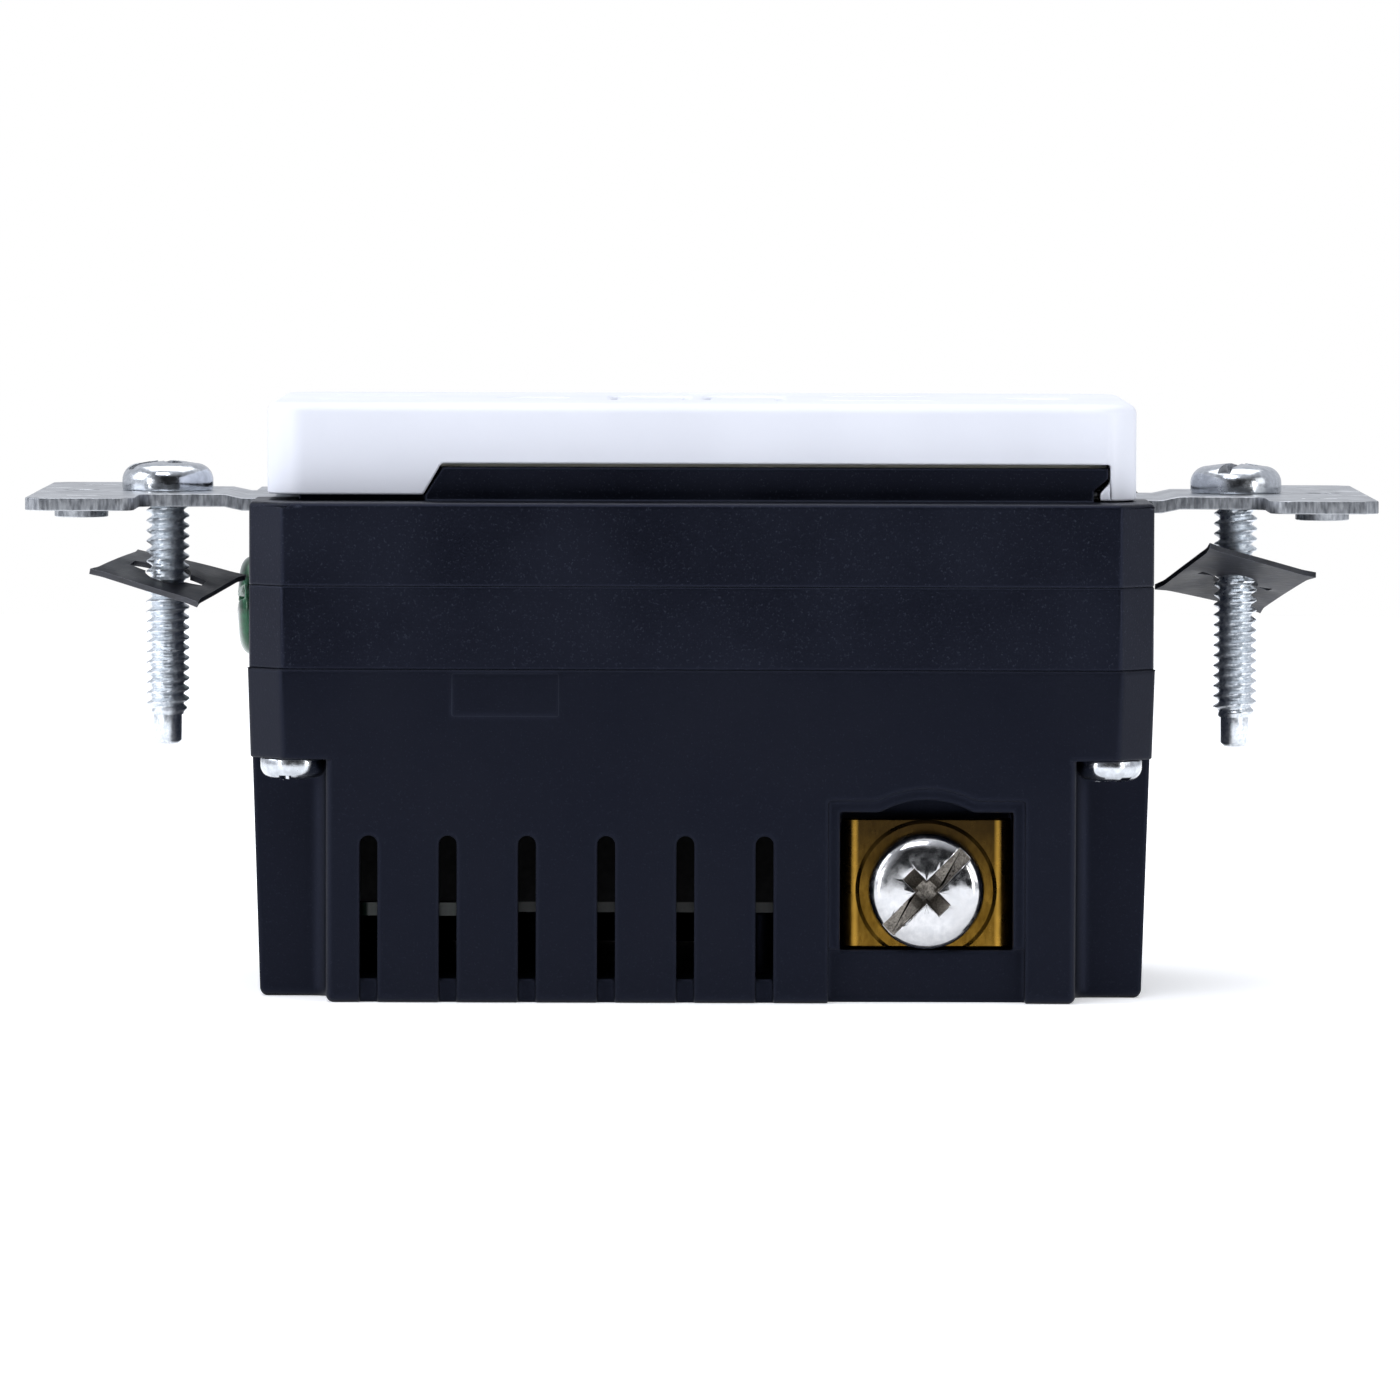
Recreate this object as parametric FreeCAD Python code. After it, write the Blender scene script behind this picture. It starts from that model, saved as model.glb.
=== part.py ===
import FreeCAD, Part
import math
import os

# A ground-fault receptacle with its face up. Millimetres. X runs along the strap, Y across it, Z out of the wall.
# The origin is midway between the two wall-plate holes, on the strap's underside, where the strap meets the box.
# The neutral side is -Y, the ground terminal is at the -X end.

V = FreeCAD.Vector
UP = V(0, 0, 1)

# ---- driving sizes -------------------------------------------------------------------------------------------
fit_gap = 0.15            # between pieces that drop into each other
run_gap = 0.3             # between pieces that move past each other

housing_length = 69.0
housing_width = 42.4
housing_chamfer = 2.6
housing_wall = 2.0
housing_top = 0.8
upper_seam = -5.54        # between the upper and the middle layer
lower_seam = -11.87       # between the middle and the back layer
back_lip = 0.1            # the back layer stands this far proud of the two above it
rim_bottom = -18.7
back_bottom = -37.3
back_floor = 1.8
end_draft = 0.8           # how far each end of the back layer leans in towards its floor
side_draft = 0.25

face_step = 1.2           # housing end to face end
face_width = 33.2
face_top = 8.3
face_corner = 3.0
face_edge = 0.8
face_plate = 1.6
face_wall = 1.5
face_end_wall = 2.1
skirt_bottom = 3.66
block_bottom = 1.26
post_bottom = 0.9
block_length = 12.0
riser_top = 3.4

strap_thick = 1.0
strap_drop = 0.3          # the strap steps down this far where it enters the housing
box_screw_inset = 7.17    # housing end to box screw
plate_screw_inset = 13.92 # housing end to wall-plate screw
strap_end_inset = 17.2    # housing end to strap end
ear_width = 35.6
ear_start = 1.7           # box screw to the inner edge of the ear
neck_width = 17.0
bar_width = 12.0
narrow_bar = 6.4
ear_chamfer = 1.1
plate_hole_r = 1.4
collar_r = 2.1
collar_height = 1.1

blade_spacing = 12.7
ground_offset = 11.9
first_blades = 8.0        # face end to the middle of the first pair of blade slots
last_ground = 7.7         # face end to the middle of the second ground hole
slot_width = 2.1
neutral_slot = 8.4
hot_slot = 6.9
ground_hole_r = 2.65
rivet_r = 0.6
rivet_offset = 4.2         # ground hole to rivet

button_length = 12.6      # along Y
button_width = 5.4
button_bridge = 1.4       # between the two button openings
button_middle = -0.4
button_gap = 0.25
button_wall = 0.9
button_travel = 2.2
test_travel = 1.5
lamp_y = 13.0
lamp_r = 1.0

box_screw_r = 1.7         # over the thread crests
box_screw_root = 1.25
box_screw_pitch = 0.794
box_screw_length = 19.8
box_screw_tip = 1.9
box_screw_tip_r = 1.1
box_head_r = 3.55
box_head_height = 2.4
slot_across = 6.6
slot_along = 4.2

retainer_side = 8.8
retainer_thick = 0.45
retainer_drop = 5.6       # strap underside to the middle of the retainer

corner_notch_x = 5.95     # the notch at each back corner, from the housing end
corner_notch_y = 6.1
case_screw_x = 3.35       # case screw axis, from the housing end
case_screw_y = 3.2
case_screw_r = 1.2
case_head_r = 2.5
case_head_height = 1.85
case_screw_depth = 2.3    # how far below the housing top the screws end

vent_count = 6
vent_pitch = 6.03
vent_first = 9.2          # housing end to the first vent
vent_width = 1.35
vent_top = -25.2
vent_groove = 1.0

terminal_x = 17.2
terminal_z = -28.75
pocket_width = 15.0
pocket_top = -21.8
pocket_arch_r = 7.9
pocket_arch_blend = 1.2
pocket_depth = 5.7
pocket_lip = 0.9          # how far the mouth is wider than the room behind it, all round
pocket_lip_depth = 0.9
sill_top = -33.3
sill_set_back = 2.0
pocket_back = 1.2         # thickness of the pocket's back wall
plate_thick = 1.0
terminal_plate_width = 11.6
terminal_plate_height = 9.8
clamp_flange = 1.3
wire_gap = 1.2            # between clamp and terminal plate, as shipped
terminal_screw_r = 2.05
terminal_head_r = 4.45
terminal_head_height = 2.3
terminal_screw_length = 5.6
wire_hole_r = 1.35
wire_hole_spacing = 7.2

ground_screw_y = 12.9
ground_screw_z = -8.6
ground_screw_r = 2.4
ground_head_r = 3.9
ground_head_height = 1.7
ground_shank = 5.5

board_top = -29.8
board_thick = 1.0
board_edge_gap = 0.4

# ---- places worked out from them -----------------------------------------------------------------------------
half_length = housing_length / 2
half_width = housing_width / 2
face_half = half_length - face_step
face_half_width = face_width / 2
face_under = face_top - face_plate
box_screw_x = half_length + box_screw_inset
plate_screw_x = half_length + plate_screw_inset
strap_half = half_length + strap_end_inset
strap_low = -strap_drop
strap_low_top = strap_thick - strap_drop
blades_x = (-face_half + first_blades, face_half - last_ground - ground_offset)
grounds_x = tuple(x + ground_offset for x in blades_x)
neutral_y = -blade_spacing / 2
hot_y = blade_spacing / 2
reset_x = button_middle + (button_width + button_bridge) / 2 + button_gap
test_x = button_middle - (button_width + button_bridge) / 2 - button_gap
case_screws = [(sx * (half_length - case_screw_x), sy * (half_width - case_screw_y)) for sx in (-1, 1) for sy in (-1, 1)]
pocket_floor_y = half_width + back_lip - pocket_depth
vents_x = [-half_length + vent_first + i * vent_pitch for i in range(vent_count)]
ceiling = strap_low - 1.0         # underside of the upper layer's deck
middle_floor = 1.27
middle_floor_top = lower_seam + middle_floor


# ---- shapes in few words -------------------------------------------------------------------------------------
def box(x0, x1, y0, y1, z0, z1):
    return Part.makeBox(x1 - x0, y1 - y0, z1 - z0, V(x0, y0, z0))


def centred(x, y, length, width, z0, z1):
    return box(x - length / 2, x + length / 2, y - width / 2, y + width / 2, z0, z1)


def post(x, y, r, z0, z1):
    return Part.makeCylinder(r, z1 - z0, V(x, y, z0))


def rod_x(y, z, r, x0, x1):
    return Part.makeCylinder(r, x1 - x0, V(x0, y, z), V(1, 0, 0))


def rod_y(x, z, r, y0, y1):
    return Part.makeCylinder(r, y1 - y0, V(x, y0, z), V(0, 1, 0))


def prism(points, along):
    """A closed outline of points, carried along a vector."""
    return Part.Face(Part.makePolygon(points + [points[0]])).extrude(along)


def join(shapes):
    shapes = list(shapes)
    return shapes[0].multiFuse(shapes[1:]).removeSplitter() if len(shapes) > 1 else shapes[0]


def in_front(shape):
    """The same shape on the other side of the middle plane Y = 0."""
    return shape.mirror(V(0, 0, 0), V(0, 1, 0))


def both_sides(shape):
    return [shape, in_front(shape)]


def soften(shape, radius, wanted, chamfer=False):
    """Rounds or chamfers the edges for which wanted(middle, direction) is true."""
    picked = []
    for edge in shape.Edges:
        if edge.Degenerated:
            continue
        first, last = edge.FirstParameter, edge.LastParameter
        middle = edge.valueAt((first + last) / 2)
        way = edge.tangentAt((first + last) / 2)
        if wanted(middle, way):
            picked.append(edge)
    return shape.makeChamfer(radius, picked) if chamfer else shape.makeFillet(radius, picked)


def upright(way):
    return abs(way.z) > 0.99


def octagon(length, width, chamfer, z):
    """A rectangle with its four corners cut off, as points at height z."""
    a, b, c = length / 2, width / 2, chamfer
    return [V(x, y, z) for x, y in (
        (-a + c, -b), (a - c, -b), (a, -b + c), (a, b - c), (a - c, b), (-a + c, b), (-a, b - c), (-a, -b + c))]


def rounded_block(length, width, radius, z0, z1):
    return soften(centred(0, 0, length, width, z0, z1), radius, lambda p, d: upright(d))


def coil(r, wire_r, height, turns, base, axis=UP):
    """A helical spring whose wire centre line starts at base."""
    helix = Part.makeHelix(height / turns, height, r)
    ring = Part.Wire(Part.Circle(V(r, 0, 0), V(0, 1, 0), wire_r).toShape())
    spring = Part.Wire(helix.Edges).makePipeShell([ring], True, True)
    turn = FreeCAD.Rotation(UP, axis)
    spring.Placement = FreeCAD.Placement(base, turn)
    return spring


def save(name, shapes):
    """Writes one sub-part. Its pieces stay separate solids."""
    solids = [s for shape in (shapes if isinstance(shapes, list) else [shapes]) for s in shape.Solids]
    for s in solids:
        if not s.isValid() or s.Volume <= 0:
            raise ValueError(name + " has a bad solid")
    Part.makeCompound(solids).exportStep("parts/" + name + ".step")
    print(name, len(solids), "solids", round(sum(s.Volume for s in solids), 1), "mm3")


# ---- face ----------------------------------------------------------------------------------------------------
def blade_slots(margin, z0, z1):
    """The four blade slots, widened by margin all round."""
    made = []
    for x in blades_x:
        made.append(centred(x, neutral_y, neutral_slot + 2 * margin, slot_width + 2 * margin, z0, z1))
        made.append(centred(x, hot_y, hot_slot + 2 * margin, slot_width + 2 * margin, z0, z1))
    return made


def ground_hole(x, margin, z0, z1):
    """An arch: round towards the blades, square away from them."""
    r = ground_hole_r + margin
    return join([post(x, 0, r, z0, z1), box(x, x + r, -r, r, z0, z1)])


def face_cover():
    shell = rounded_block(2 * face_half, face_width, face_corner, post_bottom, face_top)
    shell = soften(shell, face_edge, lambda p, d: abs(p.z - face_top) < 1e-6)
    inside = box(-face_half + face_wall, face_half - face_end_wall, -face_half_width + face_wall,
                 face_half_width - face_wall, post_bottom - 1, face_under)
    shell = shell.cut(soften(inside, 1.0, lambda p, d: upright(d)))
    block_end = -face_half + block_length
    slant = (skirt_bottom - block_bottom) / math.tan(math.radians(60))
    window = prism([V(block_end, -50, 0), V(block_end, -50, block_bottom), V(block_end + slant, -50, skirt_bottom),
                    V(face_half - face_end_wall, -50, skirt_bottom), V(face_half - face_end_wall, -50, 0)],
                   V(0, 100, 0))
    shell = shell.cut(window)
    shell = shell.cut(box(-50, block_end + 0.01, -50, 50, 0, block_bottom))
    barb_x = face_half - face_end_wall
    barb = prism([V(barb_x + 0.2, 0, post_bottom), V(barb_x - 0.75, 0, post_bottom), V(barb_x - 0.75, 0, 1.5),
                  V(barb_x, 0, 2.3), V(barb_x + 0.2, 0, 2.3)], V(0, 4.0, 0))
    barb.translate(V(0, -face_half_width + 0.25, 0))
    shell = join([shell] + both_sides(barb))
    openings = blade_slots(0, face_under - 1, face_top + 1)
    openings += [ground_hole(x, 0, face_under - 1, face_top + 1) for x in grounds_x]
    for x in (reset_x, test_x):
        opening = centred(x, 0, button_width + 2 * button_gap, button_length + 2 * button_gap, face_under - 1, face_top + 1)
        openings.append(soften(opening, 1.0, lambda p, d: upright(d)))
    openings.append(post(button_middle, lamp_y, lamp_r + 0.1, face_under - 1, face_top + 1))
    for o in openings:
        shell = shell.cut(o)
    inner = lambda p: abs(p.x) < face_half - 2 * face_edge and abs(p.y) < face_half_width - 2 * face_edge
    return soften(shell, 0.3, lambda p, d: abs(p.z - face_top) < 1e-6 and inner(p), chamfer=True)


def button(x, stem_bottom):
    """A hollow cap with a flange that stops it under the face."""
    cap_top = face_top - 0.15
    cap = soften(centred(x, 0, button_width, button_length, 3.9, cap_top), 0.8, lambda p, d: upright(d))
    cap = soften(cap, 0.4, lambda p, d: abs(p.z - cap_top) < 1e-6)
    flange = centred(x, 0, button_width + 1.0, button_length + 1.4, 5.3, face_under - fit_gap)
    hollow = centred(x, 0, button_width - 2 * button_wall, button_length - 2 * button_wall, 3.0, cap_top - 1.2)
    body = join([cap, flange]).cut(hollow)
    return join([body, post(x, 0, 1.6, stem_bottom, cap_top - 1.0)])


def reset_button():
    """The cap is drilled for the reset pin."""
    cap = button(reset_x, reset_boss)
    return cap.cut(post(reset_x, 0, reset_pin_r, reset_boss - 1, face_top - 1.1))


def test_button():
    cap = button(test_x, test_stem_bottom)
    dimple = Part.makeSphere(6.0, V(test_x, 0, face_top - 0.15 + 5.7))
    return cap.cut(dimple)


reset_pin_r = 1.1
reset_pin_bottom = -22.6
latch_z = -19.5
latch_thick = 0.8
pin_neck_r = 0.85
pin_head_gap = 0.25
test_stem_bottom = -2.5
reset_boss = 5.4


def reset_pin():
    """A steel pin with a long neck that the latch plate closes on."""
    neck_bottom = latch_z - latch_thick / 2 - pin_head_gap
    neck_top = latch_z + latch_thick / 2 + button_travel + 0.4
    pin = post(reset_x, 0, reset_pin_r, reset_pin_bottom, face_top - 1.2)
    ring = post(reset_x, 0, reset_pin_r + 1, neck_bottom, neck_top).cut(post(reset_x, 0, pin_neck_r, neck_bottom, neck_top))
    return soften(pin.cut(ring), 0.4, lambda p, d: abs(p.z - reset_pin_bottom) < 1e-6, chamfer=True)


def lamp_pipe():
    """A clear rod from the lamp on the board to the face."""
    rod = post(button_middle, lamp_y, lamp_r, lamp_top + 0.3, face_top - 0.1)
    collar = post(button_middle, lamp_y, lamp_r + 0.6, face_under - 1.2, face_under - fit_gap)
    return join([rod, collar])


lamp_top = board_top + 3.8

# ---- shutters ------------------------------------------------------------------------------------------------
shutter_travel = 3.0
shutter_half = neutral_slot / 2 + 1.1
shutter_bottom = 4.6
shutter_top = 6.1
shutter_front = neutral_y - 5.3
shutter_back = hot_y + 2.2
tray_bottom = riser_top
tray_floor_top = shutter_bottom - 0.1
spring_seat_y = shutter_back + shutter_travel + 2.0


def shutter(x):
    """A slide that hides both slots, and has a ramp for each blade beside its window."""
    plate = box(x - shutter_half, x + shutter_half, shutter_front, shutter_back, shutter_bottom, shutter_top)
    window = slot_width + 0.9
    for y in (neutral_y, hot_y):
        middle = y - shutter_travel
        plate = plate.cut(centred(x, middle, neutral_slot + 0.8, window, shutter_bottom - 1, shutter_top + 1))
        low = middle + window / 2
        ramp = prism([V(0, low - 0.1, shutter_top + 0.1), V(0, low - 0.1, shutter_bottom + 0.4), V(0, low, shutter_bottom + 0.4),
                      V(0, low + 2.3, shutter_top), V(0, low + 2.3, shutter_top + 0.1)], V(neutral_slot + 0.8, 0, 0))
        ramp.translate(V(x - neutral_slot / 2 - 0.4, 0, 0))
        plate = plate.cut(ramp)
    return plate


def shutter_tray():
    """A floor plate with a guide rib each side of each shutter and a spring seat behind it."""
    length, width = 2 * face_half - face_wall - face_end_wall - 2 * fit_gap, face_width - 2 * face_wall - 2 * fit_gap
    shift = (face_wall - face_end_wall) / 2
    floor = centred(shift, 0, length, width, tray_bottom, tray_floor_top)
    tray = soften(floor, 1.0, lambda p, d: upright(d))
    ribs = []
    rib_top = face_under - fit_gap
    for x in blades_x:
        for side in (-1, 1):
            rib_x = x + side * (shutter_half + run_gap / 2 + 0.5)
            ribs.append(centred(rib_x, 0, 1.0, width - 2, tray_floor_top - 0.2, rib_top))
        ribs.append(box(x - 2.4, x + 2.4, spring_seat_y, spring_seat_y + 1.2, tray_floor_top - 0.2, rib_top))
    tray = join([tray] + ribs)
    tray = tray.cut(button_room)
    tray = tray.cut(post(button_middle, lamp_y, lamp_r + 0.8, 0, face_top))
    for hole in blade_slots(0.3, 0, tray_floor_top + 0.01):
        tray = tray.cut(hole)
    for x in grounds_x:
        tray = tray.cut(ground_hole(x, 0.3, 0, face_top))
    return tray


def shutter_spring(x):
    start = V(x, shutter_back + 0.2, (shutter_bottom + shutter_top) / 2)
    return coil(0.65, 0.13, spring_seat_y - shutter_back - 0.7, 6, start, V(0, 1, 0))


# ---- strap and ground ----------------------------------------------------------------------------------------
ground_pad = 5.6          # half length of the wide part of the bar round a ground hole
button_pad = 7.6


def strap_plan(margin):
    """The strap's outline inside the housing, widened by margin: pairs of (x0, x1, half width)."""
    wide, narrow, neck = bar_width / 2 + margin, narrow_bar / 2 + margin, neck_width / 2 + margin
    left, right = blades_x
    reach = neutral_slot / 2 + 1.2
    return [
        (-half_length - 1, left - reach + margin, neck),
        (left - reach, left + reach, narrow),
        (left + reach - margin, right - reach + margin, wide),
        (right - reach, right + reach, narrow),
        (right + reach - margin, half_length - 4.0 + margin, wide),
        (half_length - 4.0 - margin, half_length + 1, neck),
    ]


lug_half = 4.1
lug_inset = 0.5           # how far the ground tab is let into the end of the housing
lug_out = strap_thick - lug_inset + fit_gap


def ground_lug(margin, z0, z1):
    """The strip that carries the ground terminal sideways out of the strap."""
    return box(-half_length - lug_out, -half_length + 3.4 + margin, 0, ground_screw_y + lug_half + margin, z0, z1)


def lug_recess():
    """The shallow recess in the housing's end that the ground tab is let into."""
    reach = lug_half + fit_gap
    return box(-half_length - 1, -half_length + lug_inset, ground_screw_y - reach, ground_screw_y + reach,
               ground_screw_z - reach, housing_top + 1)


def mounting_strap():
    """Stamped steel: ears, necks, a narrow bar between the contact wells, and a tab bent down for the ground screw."""
    low, high = strap_low, strap_thick
    flat = [box(x0, x1, -h, h, low, high) for x0, x1, h in strap_plan(0)]
    for s in (-1, 1):
        ends = sorted((s * half_length, s * (box_screw_x + ear_start + 0.5)))
        flat.append(box(ends[0], ends[1], -neck_width / 2, neck_width / 2, low, high))
        ends = sorted((s * (box_screw_x + ear_start), s * strap_half))
        flat.append(box(ends[0], ends[1], -ear_width / 2, ear_width / 2, low, high))
    plate = join(flat)
    ear_edge = box_screw_x + ear_start
    plate = soften(plate, ear_chamfer, lambda p, d: upright(d) and abs(p.x) > strap_half - 0.01, chamfer=True)
    plate = soften(plate, 1.6, lambda p, d: upright(d) and abs(abs(p.x) - ear_edge) < 0.01)
    plate = soften(plate, 0.4, lambda p, d: upright(d) and abs(p.x) < half_length - 0.5)
    bend = half_length + 1.0
    side = [V(-60, 0, 0), V(-bend - 1.4, 0, 0), V(-bend, 0, strap_low), V(bend, 0, strap_low), V(bend + 1.4, 0, 0), V(60, 0, 0)]
    band = prism(side + [p + V(0, 0, strap_thick) for p in reversed(side)], V(0, ear_width + 2, 0))
    band.translate(V(0, -ear_width / 2 - 1, 0))
    plate = plate.common(band)
    tab = box(-half_length - lug_out, -half_length - lug_out + strap_thick, ground_screw_y - lug_half, ground_screw_y + lug_half,
              ground_screw_z - lug_half, strap_low_top)
    tab = soften(tab, 1.5, lambda p, d: abs(d.x) > 0.99 and p.z < ground_screw_z)
    plate = join([plate, ground_lug(0, strap_low, strap_low_top).cut(box(-50, 0, -50, neck_width / 2 - 1, -5, 5)), tab])
    plate = plate.cut(box(-half_length - 1.2, -half_length + 0.2, neck_width / 2, ground_screw_y - lug_half, -5, 5))
    for s in (-1, 1):
        slot = soften(centred(s * box_screw_x, 0, slot_along, slot_across, -2, 2), slot_along / 2 - 0.01, lambda p, d: upright(d))
        collar = post(s * plate_screw_x, 0, collar_r, -collar_height, 0.2)
        plate = join([plate.cut(slot), collar]).cut(post(s * plate_screw_x, 0, plate_hole_r, -3, 3))
        for side_y in (-1, 1):
            plate = plate.cut(centred(s * (strap_half - 1.5), side_y * 4.6, 3.4, 0.8, -2, 2))
            plate = plate.cut(centred(s * (strap_half - 4.2), side_y * 12.0, 2.8, 0.8, -2, 2))
    for x in grounds_x:
        plate = plate.cut(ground_hole(x, 0.45, -2, 2))
        for side_x in (-1, 1):
            plate = plate.cut(post(x + side_x * rivet_offset, 0, rivet_r + 0.05, -2, 2))
    plate = plate.cut(post(reset_x, 0, reset_pin_r + 0.25, -2, 2)).cut(post(test_x, 0, 2.0, -2, 2))
    return plate.cut(rod_x(ground_screw_y, ground_screw_z, ground_screw_r + 0.05, -half_length - 3, -half_length + 1))


ground_clip_drop = 8.5


def ground_contact(x):
    """A riveted clip: a plate under the strap and two leaves that grip the ground pin."""
    thick = 0.6
    z1 = strap_low
    plate = box(x - 5.3, x + 5.3, -3.4, 3.4, z1 - thick, z1).cut(ground_hole(x, 0.15, -3, 3))
    grip = 2.35
    made = [plate]
    for s in (-1, 1):
        leaf = prism([V(0, 2.9, z1), V(0, 3.4, z1), V(0, 3.4, z1 - 3), V(0, grip + thick, z1 - 6),
                      V(0, 3.2, z1 - ground_clip_drop), V(0, 2.7, z1 - ground_clip_drop), V(0, grip, z1 - 6), V(0, 2.9, z1 - 3)],
                     V(4.0, 0, 0))
        leaf.translate(V(x - 2, 0, 0))
        made.append(leaf if s > 0 else in_front(leaf))
    clip = join(made)
    for s in (-1, 1):
        clip = clip.cut(post(x + s * rivet_offset, 0, rivet_r + 0.05, -5, 5))
    return clip


def strap_rivets():
    """Two rivets to each ground contact, headed on both sides."""
    made = []
    for x in grounds_x:
        for s in (-1, 1):
            at = x + s * rivet_offset
            shank = post(at, 0, rivet_r, strap_low - 0.6, strap_low_top)
            made.append(join([shank, post(at, 0, 1.0, strap_low_top, strap_low_top + 0.4),
                              post(at, 0, 1.0, strap_low - 1.0, strap_low - 0.6)]))
    return made


# ---- housing layers ------------------------------------------------------------------------------------------
def layer(length, width, z0, z1):
    block = prism(octagon(length, width, housing_chamfer, z0), V(0, 0, z1 - z0))
    return soften(block, 0.5, lambda p, d: upright(d))


def cavity(z0, z1):
    """The room inside the three layers. It leaves the four corner posts that the case screws run in."""
    a, b = half_length - housing_wall, half_width - housing_wall
    post_x, post_y = half_length - corner_notch_x - housing_wall, half_width - corner_notch_y - housing_wall
    return join([box(-post_x, post_x, -b, b, z0, z1), box(-a, a, -post_y, post_y, z0, z1)])


def case_holes(z0, z1):
    return [post(x, y, case_screw_r + 0.05, z0, z1) for x, y in case_screws]


def terminal_room(z0, z1):
    """Room kept solid, or clear of boards and carriers, round each line terminal."""
    room = box(terminal_x - pocket_width / 2 - 1.2, half_length - corner_notch_x, pocket_floor_y - pocket_back,
               half_width + 1, z0, z1)
    return both_sides(room)


def upper_housing():
    """Deck, strap channel, contact wells, and the riser that the face sits on."""
    deck = layer(housing_length, housing_width, upper_seam, housing_top)
    deck = soften(deck, 0.35, lambda p, d: abs(p.z - housing_top) < 1e-6)
    inner_length = 2 * face_half - face_wall - face_end_wall - 2 * fit_gap
    shift = (face_wall - face_end_wall) / 2
    riser = centred(shift, 0, inner_length - 1.6, face_width - 2 * face_wall - 2 * fit_gap, housing_top - 0.5, riser_top)
    pad_left = -face_half + block_length + fit_gap
    slant = (riser_top - block_bottom) / math.tan(math.radians(60))
    pad_half = face_half_width - 0.15
    pad_right = face_half - face_end_wall - fit_gap
    pad = prism([V(pad_left, -pad_half, housing_top - 0.5), V(pad_left, -pad_half, block_bottom),
                 V(pad_left + slant + fit_gap, -pad_half, riser_top), V(pad_right, -pad_half, riser_top),
                 V(pad_right, -pad_half, 2.6), V(pad_right - 1.1, -pad_half, 1.7), V(pad_right - 1.1, -pad_half, housing_top - 0.5)],
                V(0, 2 * pad_half, 0))
    made = join([deck, riser.cut(box(pad_right - 1.1, half_length, -50, 50, 0, 2.6)), pad])
    made = soften(made, 0.2, lambda p, d: abs(p.z - riser_top) < 1e-6 and abs(abs(p.y) - pad_half) < 1e-6)
    made = made.cut(cavity(upper_seam - 1, ceiling))
    for x0, x1, h in strap_plan(fit_gap):
        made = made.cut(box(x0, x1, -h, h, strap_low, face_top))
    made = made.cut(ground_lug(fit_gap, strap_low, 2.0)).cut(lug_recess())
    made = made.cut(button_room)
    for slot in blade_slots(0.35, ceiling - 1, face_top):
        made = made.cut(slot)
    for x in blades_x:
        for y in (neutral_y, hot_y):
            made = made.cut(centred(x, y, neutral_slot + 1.4, 5.6, ceiling - 1, riser_top - 1.0))
    for x in grounds_x:
        made = made.cut(centred(x, 0, 11.6, 7.4, ceiling - 1, strap_low + 0.1))
    made = made.cut(post(reset_x, 0, reset_pin_r + 0.4, -9, 1)).cut(post(test_x, 0, 1.9, -9, 1))
    made = made.cut(post(button_middle, lamp_y, lamp_r + 0.15, -9, 9))
    for hole in case_holes(upper_seam - 1, housing_top - case_screw_depth):
        made = made.cut(hole)
    return made


button_room = box(test_x - button_width / 2 - 1.2, reset_x + button_width / 2 + 1.2, -button_length / 2 - 1.4,
                  button_length / 2 + 1.4, 1.0, face_top)
guide_half_x = 6.6        # the latch carrier's shaft, measured from the reset pin
guide_half_y = 6.2


def middle_housing():
    """A frame with a floor that carries the two contact strips over the works."""
    frame = layer(housing_length, housing_width, lower_seam, upper_seam)
    frame = frame.cut(cavity(middle_floor_top, upper_seam + 1))
    shaft = centred(reset_x, 0, 2 * guide_half_x + 2.4, 2 * guide_half_y + 2.4, guide_bottom, middle_floor_top)
    frame = join([frame, shaft])
    frame = frame.cut(centred(reset_x, 0, 2 * guide_half_x, 2 * guide_half_y, guide_bottom - 1, -12.9))
    frame = frame.cut(post(reset_x, 0, reset_pin_r + 0.4, -20, 0))
    for s in (-1, 1):
        frame = frame.cut(box(reset_x - 2.4, reset_x + 2.4, *sorted((s * 5.0, s * 11.4)), guide_bottom - 1, lower_seam))
        frame = frame.cut(centred(fixed_contact_x, s * arm_y, 5.0, 4.0, lower_seam - 1, middle_floor_top + 1))
        frame = frame.cut(centred(reset_x, 0, 40, 3.4, guide_bottom - 1, -17.2))
    frame = frame.cut(post(button_middle, lamp_y, lamp_r + 0.15, -20, 0))
    frame = frame.cut(rod_x(ground_screw_y, ground_screw_z, ground_screw_r + 0.3, -half_length - 1, -half_length + 5))
    for hole in case_holes(lower_seam - 1, upper_seam + 1):
        frame = frame.cut(hole)
    return frame.cut(lug_recess())


guide_bottom = -17.6
arm_y = 8.9
arm_half = 1.2
fixed_contact_x = 5.6


def tub(extra, z0, z1):
    """The back layer's tapered outside, shrunk by extra."""
    def ring(z):
        t = (lower_seam - z) / (lower_seam - back_bottom)
        length = housing_length + 2 * back_lip - 2 * end_draft * t - 2 * extra
        width = housing_width + 2 * back_lip - 2 * side_draft * t - 2 * extra
        points = octagon(length, width, housing_chamfer, z)
        return Part.makePolygon(points + [points[0]])
    return Part.makeLoft([ring(z0), ring(z1)], True, True)


def vent(x):
    """A slit with a round top through the side wall, and a groove down the edge of the floor below it."""
    outer = half_width + 1
    inner = half_width - housing_wall - 0.5
    slit = box(x - vent_width / 2, x + vent_width / 2, inner, outer, back_bottom + back_floor, vent_top)
    arch = rod_y(x, vent_top, vent_width / 2, inner, outer)
    groove = box(x - vent_width / 2, x + vent_width / 2, half_width - vent_groove, outer, back_bottom - 1, back_bottom + back_floor + 0.1)
    return join([slit, arch, groove])


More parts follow.
